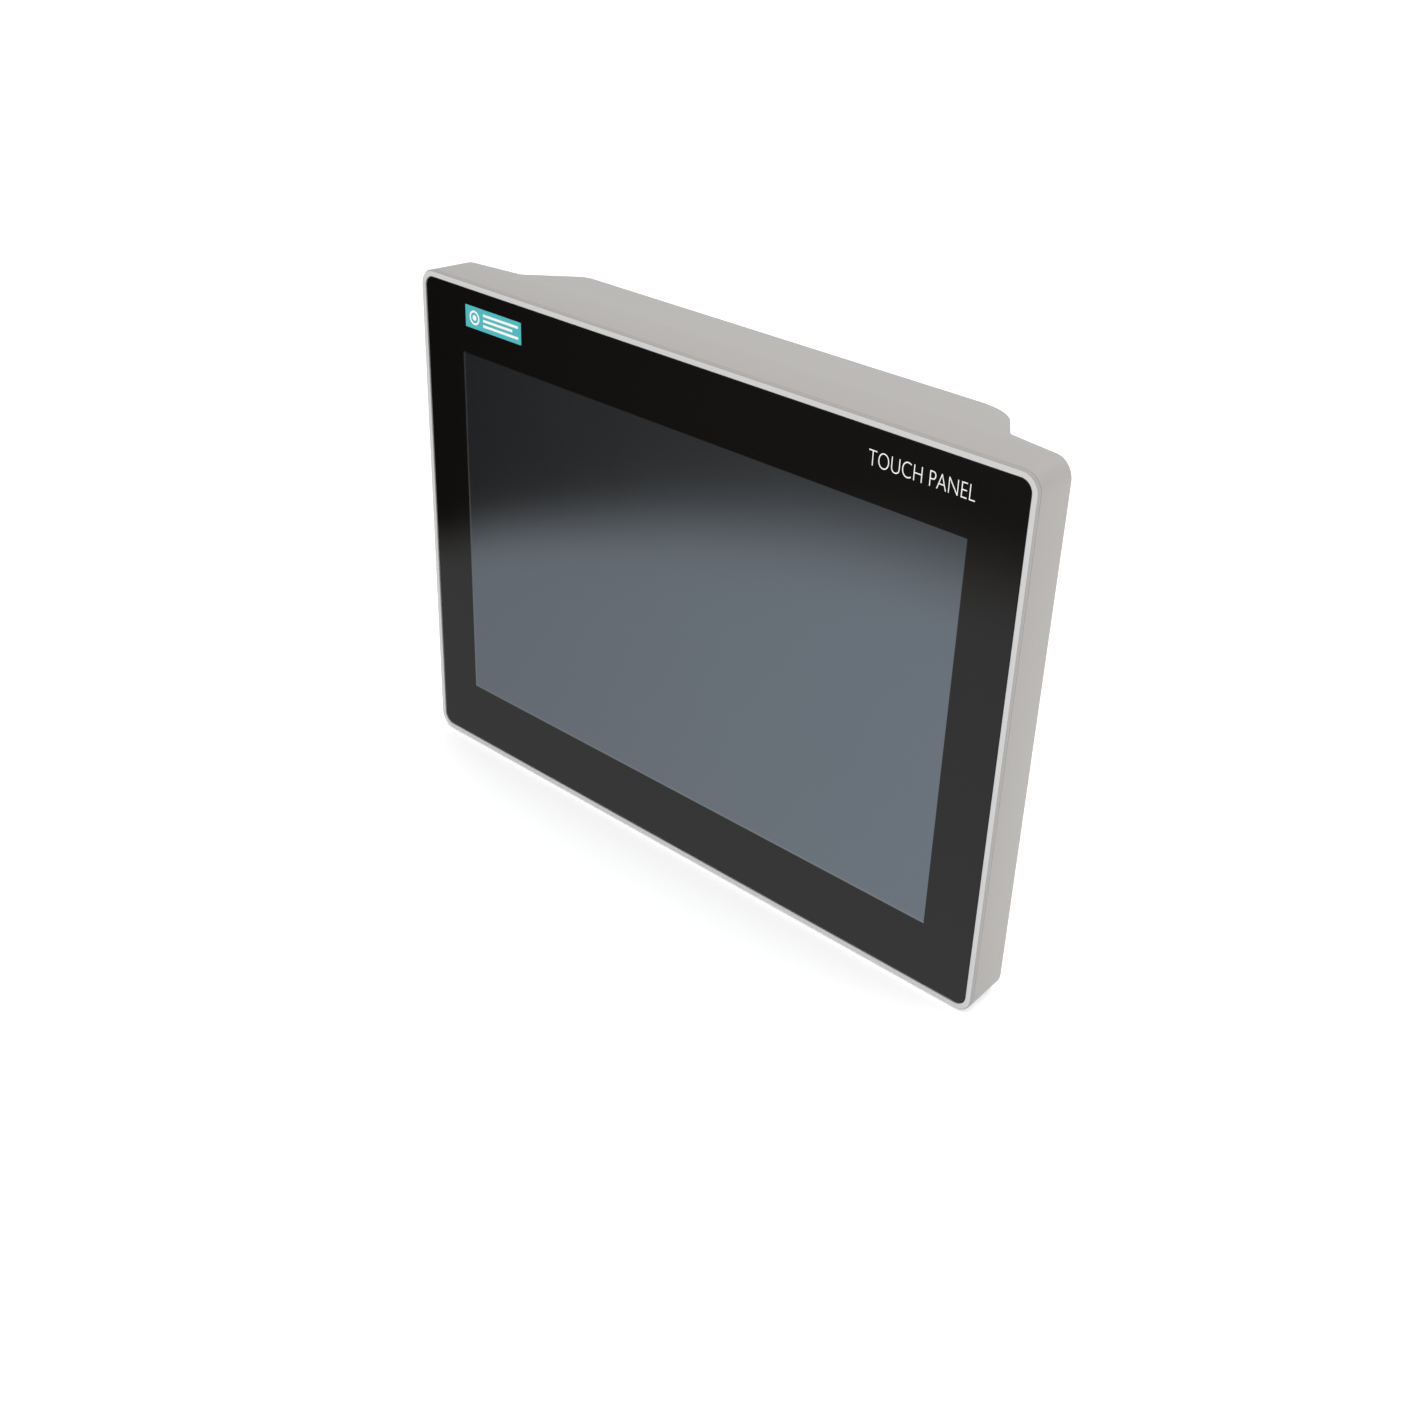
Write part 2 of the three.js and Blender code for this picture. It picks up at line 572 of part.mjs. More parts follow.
function powerPlug() {
  const neck = block(
    [power.x - power.mouth[0] / 2 + GAP, power.x + power.mouth[0] / 2 - GAP],
    [powerMid - power.mouth[1] / 2 + GAP, powerMid + power.mouth[1] / 2 - GAP],
    [MOUTH_Z - OVER, MOUTH_Z + PLUG_NECK],
  );
  const grip = block(
    [power.x - power.width / 2, power.x + power.width / 2],
    [PARTS_FRONT, PARTS_FRONT + power.rise],
    [MOUTH_Z - GAP - PLUG_GRIP, MOUTH_Z - GAP],
  );
  const pitch = 4.6;
  const wires = [-1, 0, 1].map((step) =>
    barZ(power.x + step * pitch, powerMid, 1.6, MOUTH_Z - PLUG_GRIP - OVER, MOUTH_Z - PLUG_GRIP + 5, 10),
  );
  return cut(neck.add(grip), wires);
}
add("power_plug", powerPlug(), FINISH.greenPlastic);

// Two memory cards side by side, in a cage that opens downwards.
const CARD_X = 78;
const CARD_WIDTH = 24;
const CARD_THICK = 2.1;
const CARD_LENGTH = 32;
const CARD_OUT = 5; // what of a card stays below the cage
const CARD_PITCH = 5;
const CAGE_WALL = 1.6;
const CAGE_DEPTH = 2 * CARD_PITCH + 2.4;
const cardMiddles = [0, 1].map((i) => PARTS_FRONT + CAGE_DEPTH / 2 + (i - 0.5) * CARD_PITCH);

function cardCage() {
  const half = CARD_WIDTH / 2 + CAGE_WALL + GAP;
  const top = MOUTH_Z + CARD_LENGTH - CARD_OUT + CAGE_WALL;
  const body = block([CARD_X - half, CARD_X + half], [PARTS_FRONT, PARTS_FRONT + CAGE_DEPTH], [MOUTH_Z, top]);
  const slots = cardMiddles.map((y) =>
    block(
      [CARD_X - CARD_WIDTH / 2 - GAP, CARD_X + CARD_WIDTH / 2 + GAP],
      [y - CARD_THICK / 2 - GAP, y + CARD_THICK / 2 + GAP],
      [MOUTH_Z - OVER, top - CAGE_WALL],
    ),
  );
  return cut(body, slots);
}
add("card_cage", cardCage(), FINISH.zinc);

const CARD_NOTCH = 2.4;
const cardShape = new THREE.Shape([
  new THREE.Vector2(-CARD_WIDTH / 2, 0),
  new THREE.Vector2(CARD_WIDTH / 2, 0),
  new THREE.Vector2(CARD_WIDTH / 2, CARD_LENGTH - CARD_NOTCH),
  new THREE.Vector2(CARD_WIDTH / 2 - CARD_NOTCH, CARD_LENGTH - GAP),
  new THREE.Vector2(-CARD_WIDTH / 2, CARD_LENGTH - GAP),
]);
const cardBody = new THREE.ExtrudeGeometry(cardShape, { depth: CARD_THICK, bevelEnabled: false });
const card = solid(cardBody.rotateX(Math.PI / 2).translate(0, CARD_THICK / 2, 0));
cardMiddles.forEach((y, i) => {
  add(`memory_card_${i + 1}`, card, FINISH.plastic, [CARD_X, y, MOUTH_Z - CARD_OUT]);
});

// The sheet that closes the compartment off above, with a cut-out for each connector.
function connectorPlate() {
  const sheet = block(
    [-COMPARTMENT_HALF, COMPARTMENT_HALF],
    [CHASSIS_BACK + CABLE_PASS, HATCH_BACK - GAP],
    [SHELF_Z, SHELF_TOP],
  );
  const play = 0.5;
  const cutouts = Object.values(SOCKETS).map((s) =>
    block(
      [s.x - s.width / 2 - play, s.x + s.width / 2 + play],
      [PARTS_FRONT - play, PARTS_FRONT + s.rise + play],
      [SHELF_Z - OVER, SHELF_TOP + OVER],
    ),
  );
  const cageHalf = CARD_WIDTH / 2 + CAGE_WALL + GAP + play;
  const cage = block(
    [CARD_X - cageHalf, CARD_X + cageHalf],
    [PARTS_FRONT - play, PARTS_FRONT + CAGE_DEPTH + play],
    [SHELF_Z - OVER, SHELF_TOP + OVER],
  );
  return cut(sheet, [...cutouts, cage]);
}
add("connector_plate", connectorPlate(), FINISH.steel);

// ---------------------------------------------------------------- service port and its flap
const PIN_Y = HUMP_DEPTH - FLAP_THICK - 0.2;
const PIN_Z = FLAP_Z + FLAP_HEIGHT / 2 - 1.6;
const KNUCKLE = 2.2;
const FLAP_LOW = FLAP_Z - FLAP_HEIGHT / 2;
const POCKET_TOP = PIN_Z + KNUCKLE + 1.4;
const FINGER_HALF = 6.5;
const FINGER_HEIGHT = 6;
const PORT_WALL = 8; // rear wall where the service pocket is sunk in
const PORT_Z = FLAP_Z - 2;
const PORT_HALF_W = 7.4;
const PORT_HALF_H = 3.8;
const PORT_MOUTH = [6.3, 2.7];
const PORT_DEPTH = 11;
const portBack = HUMP_DEPTH - PORT_WALL - GAP;

const portShell = block(
  [FLAP_X - PORT_HALF_W, FLAP_X + PORT_HALF_W],
  [PARTS_FRONT, portBack],
  [PORT_Z - PORT_HALF_H, PORT_Z + PORT_HALF_H],
);
const portMouth = block(
  [FLAP_X - PORT_MOUTH[0], FLAP_X + PORT_MOUTH[0]],
  [portBack - PORT_DEPTH, portBack + OVER],
  [PORT_Z - PORT_MOUTH[1], PORT_Z + PORT_MOUTH[1]],
);
add("service_port", portShell.subtract(portMouth), FINISH.zinc);

function serviceFlap() {
  const leaf = block(
    [FLAP_X - FLAP_HALF, FLAP_X + FLAP_HALF],
    [HUMP_DEPTH - FLAP_THICK, HUMP_DEPTH],
    [FLAP_LOW, PIN_Z],
  );
  const knuckle = barX(PIN_Y, PIN_Z, KNUCKLE, FLAP_X - FLAP_HALF, FLAP_X + FLAP_HALF);
  const left = FLAP_X - FLAP_HALF;
  const right = FLAP_X + FLAP_HALF;
  const bore = barX(PIN_Y, PIN_Z, FLAP_PIN + HOLE_PLAY, left - OVER, right + OVER);
  const rounded = block(
    [left - OVER, right + OVER],
    [HUMP_DEPTH, HUMP_DEPTH + KNUCKLE],
    [FLAP_LOW, PIN_Z + KNUCKLE + OVER],
  );
  return cut(leaf.add(knuckle), [bore, rounded]);
}
add("service_flap", serviceFlap(), FINISH.plastic);

const PIN_REACH = 3; // how far the pin goes into the housing at each end
const pinEnd = FLAP_HALF + 2 * GAP + PIN_REACH;
add("flap_pin", barX(PIN_Y, PIN_Z, FLAP_PIN, FLAP_X - pinEnd, FLAP_X + pinEnd, 12), FINISH.steel);

// ---------------------------------------------------------------- rear housing
// The outline of the housing seen from above, drawn in by an inset for the hollow inside.
function planOutline(inset) {
  const side = HALF_W + 4;
  const left = Math.max(HUMP_CORNER_LEFT - inset, 1);
  const right = Math.max(HUMP_CORNER_RIGHT - inset, 1);
  return filleted([
    [-side, -5, 0],
    [side, -5, 0],
    [side, SIDE_DEPTH - inset - 0.8, 0],
    [HALF_W - 1.2, SIDE_DEPTH - inset, 3],
    [HALF_W - FOOT_INSET_RIGHT - inset, SHOULDER_DEPTH - inset, 3],
    [HUMP_HALF - inset, HUMP_DEPTH - inset, right],
    [-HUMP_HALF + inset, HUMP_DEPTH - inset, left],
    [-HALF_W + FOOT_INSET_LEFT + inset, SHOULDER_DEPTH - inset, 3],
    [-HALF_W + 1.2, SIDE_DEPTH - inset, 3],
    [-side, SIDE_DEPTH - inset - 0.8, 0],
  ]);
}

// Half height of the housing at a depth: drafted at first, closing in faster over the hump.
function halfHeightAt(y) {
  const front = Math.min(y, SIDE_DEPTH);
  return HALF_H - DRAFT * front - HUMP_DROP * Math.max(y - SIDE_DEPTH, 0);
}

function skin(y0, y1, inset) {
  const section = (y) => [y, HALF_W - DRAFT * y - inset, halfHeightAt(y) - inset, CORNER - inset];
  return loft([section(y0), section(SIDE_DEPTH), section(y1)]);
}

const EARTH_X = -HALF_W + 22.25;
const EARTH_Z = 30;
const EARTH_PAD = 7;
const EARTH_FACE = 26.6;
const VENT_X = -70;
const VENT_Z = 140;
const VENT_HEAD = 7.5;
const VENT_SINK = 2.4;
const VENT_STEM = 3.2;
const LABEL_HALF_W = 46;
const LABEL_HALF_H = 17;
const LABEL_Z = HEIGHT - 32.5;
const LABEL_SINK = 0.9;
const SCREW_SEAT = 19; // housing screws' heads rest at this depth
const HEAD_M4 = 3.6;
const HEAD_M5 = 4.4;
const HATCH_HALF = COVER_HALF - 2 * COVER_SCREW_INSET_X - COVER_TRAVEL_LIP + 1;
const HATCH_LOW = COVER_LOW + 2 * COVER_SCREW_INSET_Z + COVER_TRAVEL_LIP - 0.5;
const HATCH_HIGH = COVER_HIGH - 2 * COVER_SCREW_INSET_Z - COVER_TRAVEL_LIP + 0.5;
const hatchMid = (HATCH_LOW + HATCH_HIGH) / 2;
const hatchHalfH = (HATCH_HIGH - HATCH_LOW) / 2;
const coverMid = (COVER_LOW + COVER_HIGH) / 2;
const coverHalfH = (COVER_HIGH - COVER_LOW) / 2;

const FLOOR_RISE = 1; // thickened floor starts this far above the lower edge
const FRAME_RISE = 4; // the hatch frame and the side ribs start here
const RIB_THICK = 2.2;
const SCREW_WALL = 1.8; // metal around the sunk housing screws
const FLANGE_BOSS = 5;
const FLANGE_BOSS_RISE = 7;
const PORT_BOSS_SIDE = 6; // thickened wall beyond the service flap
const PORT_BOSS_ENDS = 3;

function rearHousing() {
  const outerPlan = prism(planOutline(0), -OVER, HEIGHT + OVER);
  const innerPlan = prism(planOutline(WALL), -OVER, HEIGHT + OVER);
  const outer = skin(RIM_DEPTH + GAP, HUMP_DEPTH + OVER, 0).intersect(outerPlan);
  const hollow = skin(SEAT, HUMP_DEPTH, WALL).intersect(innerPlan);
  const lipBore = plate(HALF_W - LIP, HALF_H - LIP, CORNER - LIP, 0, SEAT);

  // thickened places inside
  const floorBoss = block(
    [-FLANGE_HALF - WALL, FLANGE_HALF + WALL],
    [CHASSIS_FRONT, INNER_DEPTH + OVER],
    [FLOOR_RISE, FLOOR_Z + WALL],
  );
  const hatchFrame = block(
    [-COMPARTMENT_HALF - WALL, COMPARTMENT_HALF + WALL],
    [HATCH_BACK, INNER_DEPTH + OVER],
    [FRAME_RISE, COVER_HIGH + WALL],
  );
  const ribs = [-1, 1].map((side) => {
    const edge = side * (COMPARTMENT_HALF + GAP);
    const far = edge + side * RIB_THICK;
    return block(
      [Math.min(edge, far), Math.max(edge, far)],
      [CHASSIS_BACK + CABLE_PASS, HATCH_BACK + OVER],
      [FRAME_RISE, COVER_HIGH + WALL],
    );
  });
  const screwBosses = postPlaces.map(([x, z]) =>
    barY(x, z, HEAD_M4 + SCREW_WALL, CHASSIS_BACK + GAP, SCREW_SEAT + OVER),
  );
  const flangeBosses = flangeScrewPlaces.map(([x, y]) =>
    barZ(x, y, FLANGE_BOSS, FLOOR_Z, FLOOR_Z + FLANGE_BOSS_RISE),
  );
  const portBoss = block(
    [FLAP_X - FLAP_HALF - PORT_BOSS_SIDE, FLAP_X + FLAP_HALF + PORT_BOSS_SIDE],
    [HUMP_DEPTH - PORT_WALL, INNER_DEPTH + OVER],
    [FLAP_LOW - FINGER_HEIGHT - PORT_BOSS_ENDS, POCKET_TOP + PORT_BOSS_ENDS],
  );
  const ventBoss = barY(VENT_X, VENT_Z, VENT_HEAD + 2, INNER_DEPTH - VENT_SINK, INNER_DEPTH + OVER, 24);
  const earthPad = barY(EARTH_X, EARTH_Z, EARTH_PAD, SIDE_DEPTH - OVER, EARTH_FACE, 24);
  const inside = join([floorBoss, hatchFrame, ...ribs, ...screwBosses, ...flangeBosses, portBoss, ventBoss]);
  const shell = cut(outer, [hollow, lipBore]).add(inside.intersect(outer)).add(earthPad);

  // seat, hatch and screw holes of the connection cover
  const coverSeat = plate(
    COVER_HALF + GAP,
    coverHalfH + GAP,
    5,
    HATCH_SEAT,
    HUMP_DEPTH + 2,
    0,
    coverMid,
  );
  const hatch = plate(HATCH_HALF, hatchHalfH, 4, HATCH_BACK - OVER, HUMP_DEPTH, 0, hatchMid);
  const coverHoles = coverScrewPlaces.map(([x, z]) =>
    barY(x, z, M4 + HOLE_PLAY, HATCH_BACK - OVER, HUMP_DEPTH, 16),
  );
  // pocket, cable hole and screw holes of the flange
  const flangeDepth = (FLANGE_BACK - FLANGE_FRONT) / 2;
  const flangePocket = slab(FLANGE_HALF + GAP, flangeDepth + GAP, 6, -5, FLOOR_Z, 0, FLANGE_MID);
  const cableHole = barZ(0, FLANGE_MID, CABLE_HOLE, -5, FLOOR_Z + WALL + 2, 32);
  const flangeHoles = flangeScrewPlaces.map(([x, y]) =>
    barZ(x, y, M5 + HOLE_PLAY, FLOOR_Z - OVER, FLOOR_Z + 6, 16),
  );
  // housing screws
  const screwHoles = postPlaces.flatMap(([x, z]) => [
    barY(x, z, M4 + HOLE_PLAY, CHASSIS_BACK, SCREW_SEAT + OVER, 16),
    barY(x, z, HEAD_M4 + HOLE_PLAY, SCREW_SEAT, SHOULDER_DEPTH, 24),
  ]);
  // service pocket with its pin holes, finger gap and port opening
  const flapPocket = block(
    [FLAP_X - FLAP_HALF - 2 * GAP, FLAP_X + FLAP_HALF + 2 * GAP],
    [HUMP_DEPTH - FLAP_POCKET, HUMP_DEPTH + OVER],
    [FLAP_LOW - GAP, POCKET_TOP],
  );
  const fingerGap = block(
    [FLAP_X - FINGER_HALF, FLAP_X + FINGER_HALF],
    [HUMP_DEPTH - FLAP_POCKET, HUMP_DEPTH + OVER],
    [FLAP_LOW - FINGER_HEIGHT, FLAP_LOW + OVER],
  );
  const pinHole = barX(
    PIN_Y,
    PIN_Z,
    FLAP_PIN + GAP,
    FLAP_X - pinEnd - GAP,
    FLAP_X + pinEnd + GAP,
    12,
  );
  const portHole = block(
    [FLAP_X - PORT_MOUTH[0] - 0.8, FLAP_X + PORT_MOUTH[0] + 0.8],
    [HUMP_DEPTH - PORT_WALL - OVER, HUMP_DEPTH],
    [PORT_Z - PORT_MOUTH[1] - 0.8, PORT_Z + PORT_MOUTH[1] + 0.8],
  );
  // vent, earth stud and rating plate
  const ventHoles = [
    barY(VENT_X, VENT_Z, VENT_HEAD + GAP, HUMP_DEPTH - VENT_SINK, HUMP_DEPTH + OVER, 24),
    barY(VENT_X, VENT_Z, VENT_STEM + GAP, INNER_DEPTH - VENT_SINK - OVER, HUMP_DEPTH, 16),
  ];
  const earthHole = barY(EARTH_X, EARTH_Z, M5 + HOLE_PLAY, SIDE_DEPTH - 3, EARTH_FACE + OVER, 16);
  const labelSeat = plate(
    LABEL_HALF_W + GAP,
    LABEL_HALF_H + GAP,
    2,
    HUMP_DEPTH - LABEL_SINK,
    HUMP_DEPTH + OVER,
    0,
    LABEL_Z,
  );
  return cut(shell, [
    coverSeat,
    hatch,
    ...coverHoles,
    flangePocket,
    cableHole,
    ...flangeHoles,
    ...screwHoles,
    flapPocket,
    fingerGap,
    pinHole,
    portHole,
    ...ventHoles,
    earthHole,
    labelSeat,
  ]);
}
add("rear_housing", rearHousing(), FINISH.paint);

const housingScrew = capScrew(M4, HEAD_M4, 2.8, SCREW_SEAT - LEDGE_FRONT - 2.5);
postPlaces.forEach(([x, z], i) => {
  add(`housing_screw_${i + 1}`, housingScrew, FINISH.steel, [x, SCREW_SEAT + GAP + 2.8, z]);
});

// ---------------------------------------------------------------- connection cover
const COVER_FRONT = HUMP_DEPTH - COVER_THICK;
const COVER_HEAD = 1.4;
const COVER_HEAD_SINK = 1.6;

function connectionCover() {
  const sheet = plate(COVER_HALF, coverHalfH, 4.8, COVER_FRONT, HUMP_DEPTH, 0, coverMid);
  const seats = coverScrewPlaces.flatMap(([x, z]) => [
    barY(x, z, HEAD_M4 + HOLE_PLAY, HUMP_DEPTH - COVER_HEAD_SINK, HUMP_DEPTH + OVER, 24),
    barY(x, z, M4 + HOLE_PLAY, COVER_FRONT - OVER, HUMP_DEPTH, 16),
  ]);
  return cut(sheet, seats);
}
add("connection_cover", connectionCover(), FINISH.paint);

const COVER_SEAL_BAND = 2.6;
const coverSealHalf = HATCH_HALF + 1;
const coverSealHalfH = hatchHalfH + 1;
const coverSeal = plate(
  coverSealHalf + COVER_SEAL_BAND,
  coverSealHalfH + COVER_SEAL_BAND,
  5,
  HATCH_SEAT + GAP,
  COVER_FRONT - GAP,
  0,
  hatchMid,
).subtract(plate(coverSealHalf, coverSealHalfH, 3, HATCH_SEAT - OVER, COVER_FRONT + OVER, 0, hatchMid));
add("cover_seal", coverSeal, FINISH.rubber);

const coverScrew = capScrew(M4, HEAD_M4, COVER_HEAD, HUMP_DEPTH - COVER_HEAD_SINK - HATCH_BACK);
coverScrewPlaces.forEach(([x, z], i) => {
  add(`cover_screw_${i + 1}`, coverScrew, FINISH.steel, [x, HUMP_DEPTH - 0.05, z]);
});

// ---------------------------------------------------------------- support flange
const FLANGE_HEAD = 3.2;
const FLANGE_HEAD_SINK = 4;
const ARM_HOLES_X = 28; // tapped holes for the arm's coupling
const ARM_HOLES_Y = 9;
const ARM_HOLE_FLOOR = 1; // metal left above each tapped hole

function supportFlange() {
  const depth = (FLANGE_BACK - FLANGE_FRONT) / 2;
  const body = slab(FLANGE_HALF, depth, 5.75, 0, FLANGE_THICK, 0, FLANGE_MID);
  const screwSeats = flangeScrewPlaces.flatMap(([x, y]) => [
    barZ(x, y, HEAD_M5 + HOLE_PLAY, -OVER, FLANGE_HEAD_SINK, 24),
    barZ(x, y, M5 + HOLE_PLAY, 0, FLANGE_THICK + OVER, 16),
  ]);
  const armHoles = [-1, 1].flatMap((side) =>
    [-1, 1].map((end) => {
      const y = FLANGE_MID + end * ARM_HOLES_Y;
      return barZ(side * ARM_HOLES_X, y, M5, -OVER, FLANGE_THICK - ARM_HOLE_FLOOR, 16);
    }),
  );
  const entry = barZ(0, FLANGE_MID, CABLE_HOLE, -OVER, FLANGE_THICK + OVER, 32);
  return cut(body, [...screwSeats, ...armHoles, entry]);
}
add("support_flange", supportFlange(), FINISH.aluminium);

const SEAL_SET_BACK = 1; // seal behind the edge of the cable entry
function flangeSeal() {
  const depth = (FLANGE_BACK - FLANGE_FRONT) / 2;
  const z0 = FLANGE_THICK + GAP;
  const z1 = FLOOR_Z - GAP;
  const body = slab(FLANGE_HALF - 0.5, depth - 0.5, 5, z0, z1, 0, FLANGE_MID);
  const holes = flangeScrewPlaces.map(([x, y]) =>
    barZ(x, y, M5 + 2 * HOLE_PLAY, z0 - OVER, z1 + OVER, 16),
  );
  const entry = barZ(0, FLANGE_MID, CABLE_HOLE + SEAL_SET_BACK, z0 - OVER, z1 + OVER, 32);
  return cut(body, [...holes, entry]);
}
add("flange_seal", flangeSeal(), FINISH.rubber);

// The same cap screw, turned so that its head faces down.
const flangeScrewLength = FLOOR_Z + 5 - FLANGE_HEAD_SINK;
const flangeScrew = capScrew(M5, HEAD_M5, FLANGE_HEAD, flangeScrewLength);
flangeScrewPlaces.forEach(([x, y], i) => {
  const place = [x, y, FLANGE_HEAD_SINK - FLANGE_HEAD - GAP];
  add(`flange_screw_${i + 1}`, flangeScrew, FINISH.steel, place).rotation.x = -Math.PI / 2;
});

// ---------------------------------------------------------------- vent, earth stud, rating plate
const ventHead = barY(0, 0, VENT_HEAD, -VENT_SINK + GAP, -0.1, 24);
const ventStem = barY(0, 0, VENT_STEM, -WALL - VENT_SINK - 1.5, -VENT_SINK + GAP + 0.2, 16);
const ventSlots = [0, 1, 2].map((i) => {
  const slot = new THREE.BoxGeometry(VENT_HEAD * 1.2, 0.8, 1);
  return solid(slot.rotateY((i * Math.PI) / 3).translate(0, -0.3, 0));
});
add("vent_plug", cut(ventHead.add(ventStem), ventSlots), FINISH.plastic, [VENT_X, HUMP_DEPTH, VENT_Z]);

const STUD_OUT = 9;
const NUT_THICK = 3.6;
const studHead = barY(0, 0, 4.2, SIDE_DEPTH - WALL - 2.6, SIDE_DEPTH - WALL + 0.2 - GAP, 6);
const studShaft = barY(0, 0, M5, SIDE_DEPTH - WALL - 0.6, EARTH_FACE + STUD_OUT, 16);
add("earth_stud", studHead.add(studShaft), FINISH.steel, [EARTH_X, 0, EARTH_Z]);
const nut = barY(0, 0, 4.4, 0, NUT_THICK, 6).subtract(barY(0, 0, M5 + GAP, -OVER, NUT_THICK + OVER, 16));
add("earth_nut", nut, FINISH.brass, [EARTH_X, EARTH_FACE + GAP, EARTH_Z]);

add(
  "rating_plate",
  plate(LABEL_HALF_W, LABEL_HALF_H, 1.8, HUMP_DEPTH - LABEL_SINK + GAP, HUMP_DEPTH - 0.05, 0, LABEL_Z),
  FINISH.label,
);

// ---------------------------------------------------------------- flat cables
const RIBBON_THICK = 0.5;

// A flat cable of even thickness along a route in Y and Z.
function ribbon(route, x0, x1) {
  const near = [];
  const far = [];
  route.forEach(([y, z], i) => {
    const before = route[Math.max(i - 1, 0)];
    const after = route[Math.min(i + 1, route.length - 1)];
    const along = new THREE.Vector2(after[0] - before[0], after[1] - before[1]).normalize();
    const half = RIBBON_THICK / 2;
    near.push([y - along.y * half, z + along.x * half]);
    far.unshift([y + along.y * half, z - along.x * half]);
  });
  return profileX([...near, ...far], x0, x1);
}

const displayRoute = [
  [TRAY_BACK + 0.8, RIBBON_Z - 14],
  [TRAY_BACK + 0.9, RIBBON_Z - 3],
  [CHASSIS_FRONT + 0.2, RIBBON_Z - 0.8],
  [CHASSIS_BACK + 0.6, RIBBON_Z + 1],
  [CHASSIS_BACK + 2.6, RIBBON_Z + 2.4],
  [BOARD_FRONT - 1.2, RIBBON_Z + 6],
  [BOARD_FRONT - 0.7, RIBBON_Z + 14],
];
add("display_cable", ribbon(displayRoute, -RIBBON_HALF, RIBBON_HALF), FINISH.ribbon);

const touchRoute = [
  [LEDGE_FRONT + 0.3, TOUCH_Z],
  [CHASSIS_BACK + 1, TOUCH_Z],
  [CHASSIS_BACK + 2.2, TOUCH_Z + 1.4],
  [CHASSIS_BACK + 2.4, TOUCH_Z + 4],
  [CHASSIS_BACK + 2.4, BOARD_LOW],
  [BOARD_FRONT - 0.8, BOARD_LOW + 6],
  [BOARD_FRONT - 0.7, BOARD_LOW + 12],
];
add("touch_cable", ribbon(touchRoute, ...TOUCH_X), FINISH.ribbon);

// ---------------------------------------------------------------- the finished panel
panel.position.y = -HUMP_DEPTH / 2;
const part = new THREE.Group();
part.add(panel);

export default part;
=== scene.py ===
# %% [markdown]
# # An enclosed operator panel
# A 12 inch wide touch screen for machines. A thin bright rim holds one sheet of black glass, a drafted
# cast housing with a hump closes the back, and a flange underneath fits it to a support arm.
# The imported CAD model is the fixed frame. Everything here is made round it, in metres, with X to the
# operator's right, Y from the glass towards the back and Z up.

# %% Load the frame
import itertools
import json
import math

import bmesh
import bpy
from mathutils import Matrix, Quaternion, Vector

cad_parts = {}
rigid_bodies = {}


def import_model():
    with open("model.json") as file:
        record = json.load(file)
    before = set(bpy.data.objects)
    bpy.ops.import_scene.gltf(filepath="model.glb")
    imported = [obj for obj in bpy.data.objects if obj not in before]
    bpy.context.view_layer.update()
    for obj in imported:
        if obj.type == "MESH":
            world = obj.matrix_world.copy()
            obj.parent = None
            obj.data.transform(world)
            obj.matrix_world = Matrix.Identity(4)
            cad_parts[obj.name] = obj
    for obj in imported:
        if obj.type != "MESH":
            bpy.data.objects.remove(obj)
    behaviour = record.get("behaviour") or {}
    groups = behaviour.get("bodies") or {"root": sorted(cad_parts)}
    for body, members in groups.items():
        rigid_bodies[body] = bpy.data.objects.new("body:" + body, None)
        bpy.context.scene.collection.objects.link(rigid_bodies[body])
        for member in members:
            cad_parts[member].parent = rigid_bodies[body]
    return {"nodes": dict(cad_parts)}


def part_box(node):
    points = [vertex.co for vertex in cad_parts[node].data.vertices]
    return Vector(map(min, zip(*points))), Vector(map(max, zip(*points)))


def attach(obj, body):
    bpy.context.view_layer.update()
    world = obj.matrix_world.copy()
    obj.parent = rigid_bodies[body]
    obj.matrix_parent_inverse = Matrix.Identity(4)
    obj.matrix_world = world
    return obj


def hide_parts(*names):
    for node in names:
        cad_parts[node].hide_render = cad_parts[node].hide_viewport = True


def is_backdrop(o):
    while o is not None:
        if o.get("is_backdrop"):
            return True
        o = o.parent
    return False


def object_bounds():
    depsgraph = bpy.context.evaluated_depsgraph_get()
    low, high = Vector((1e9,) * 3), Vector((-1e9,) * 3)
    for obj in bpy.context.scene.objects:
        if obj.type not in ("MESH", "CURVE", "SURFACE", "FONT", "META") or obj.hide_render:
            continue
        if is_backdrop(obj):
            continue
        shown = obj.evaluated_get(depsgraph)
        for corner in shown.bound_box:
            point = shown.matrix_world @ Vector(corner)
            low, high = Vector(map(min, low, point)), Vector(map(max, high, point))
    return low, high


for left_over in list(bpy.data.objects):
    bpy.data.objects.remove(left_over)
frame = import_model()
cad_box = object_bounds()
MM = 0.001
RIM_LOW, RIM_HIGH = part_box("front_frame")
FRONT = RIM_LOW.y
MIDDLE_Z = (RIM_LOW.z + RIM_HIGH.z) / 2
print("CAD box", [round(v / MM, 2) for v in (*cad_box[0], *cad_box[1])])


# %% [markdown]
# ## Camera
# The camera stands to the right of the panel and above it, looking down by 30 degrees and turned by
# two degrees about its own axis. A back vector and Blender's tracking quaternion give the aim, and a
# turn about the local Z gives the tilt.

# %% Camera
CAMERA_PLACE = Vector((0.43565, -0.50250, 0.44891))
CAMERA_AZIMUTH = 41.616
CAMERA_ELEVATION = 29.995
CAMERA_ROLL = 2.014
CAMERA_LENS = 45.88


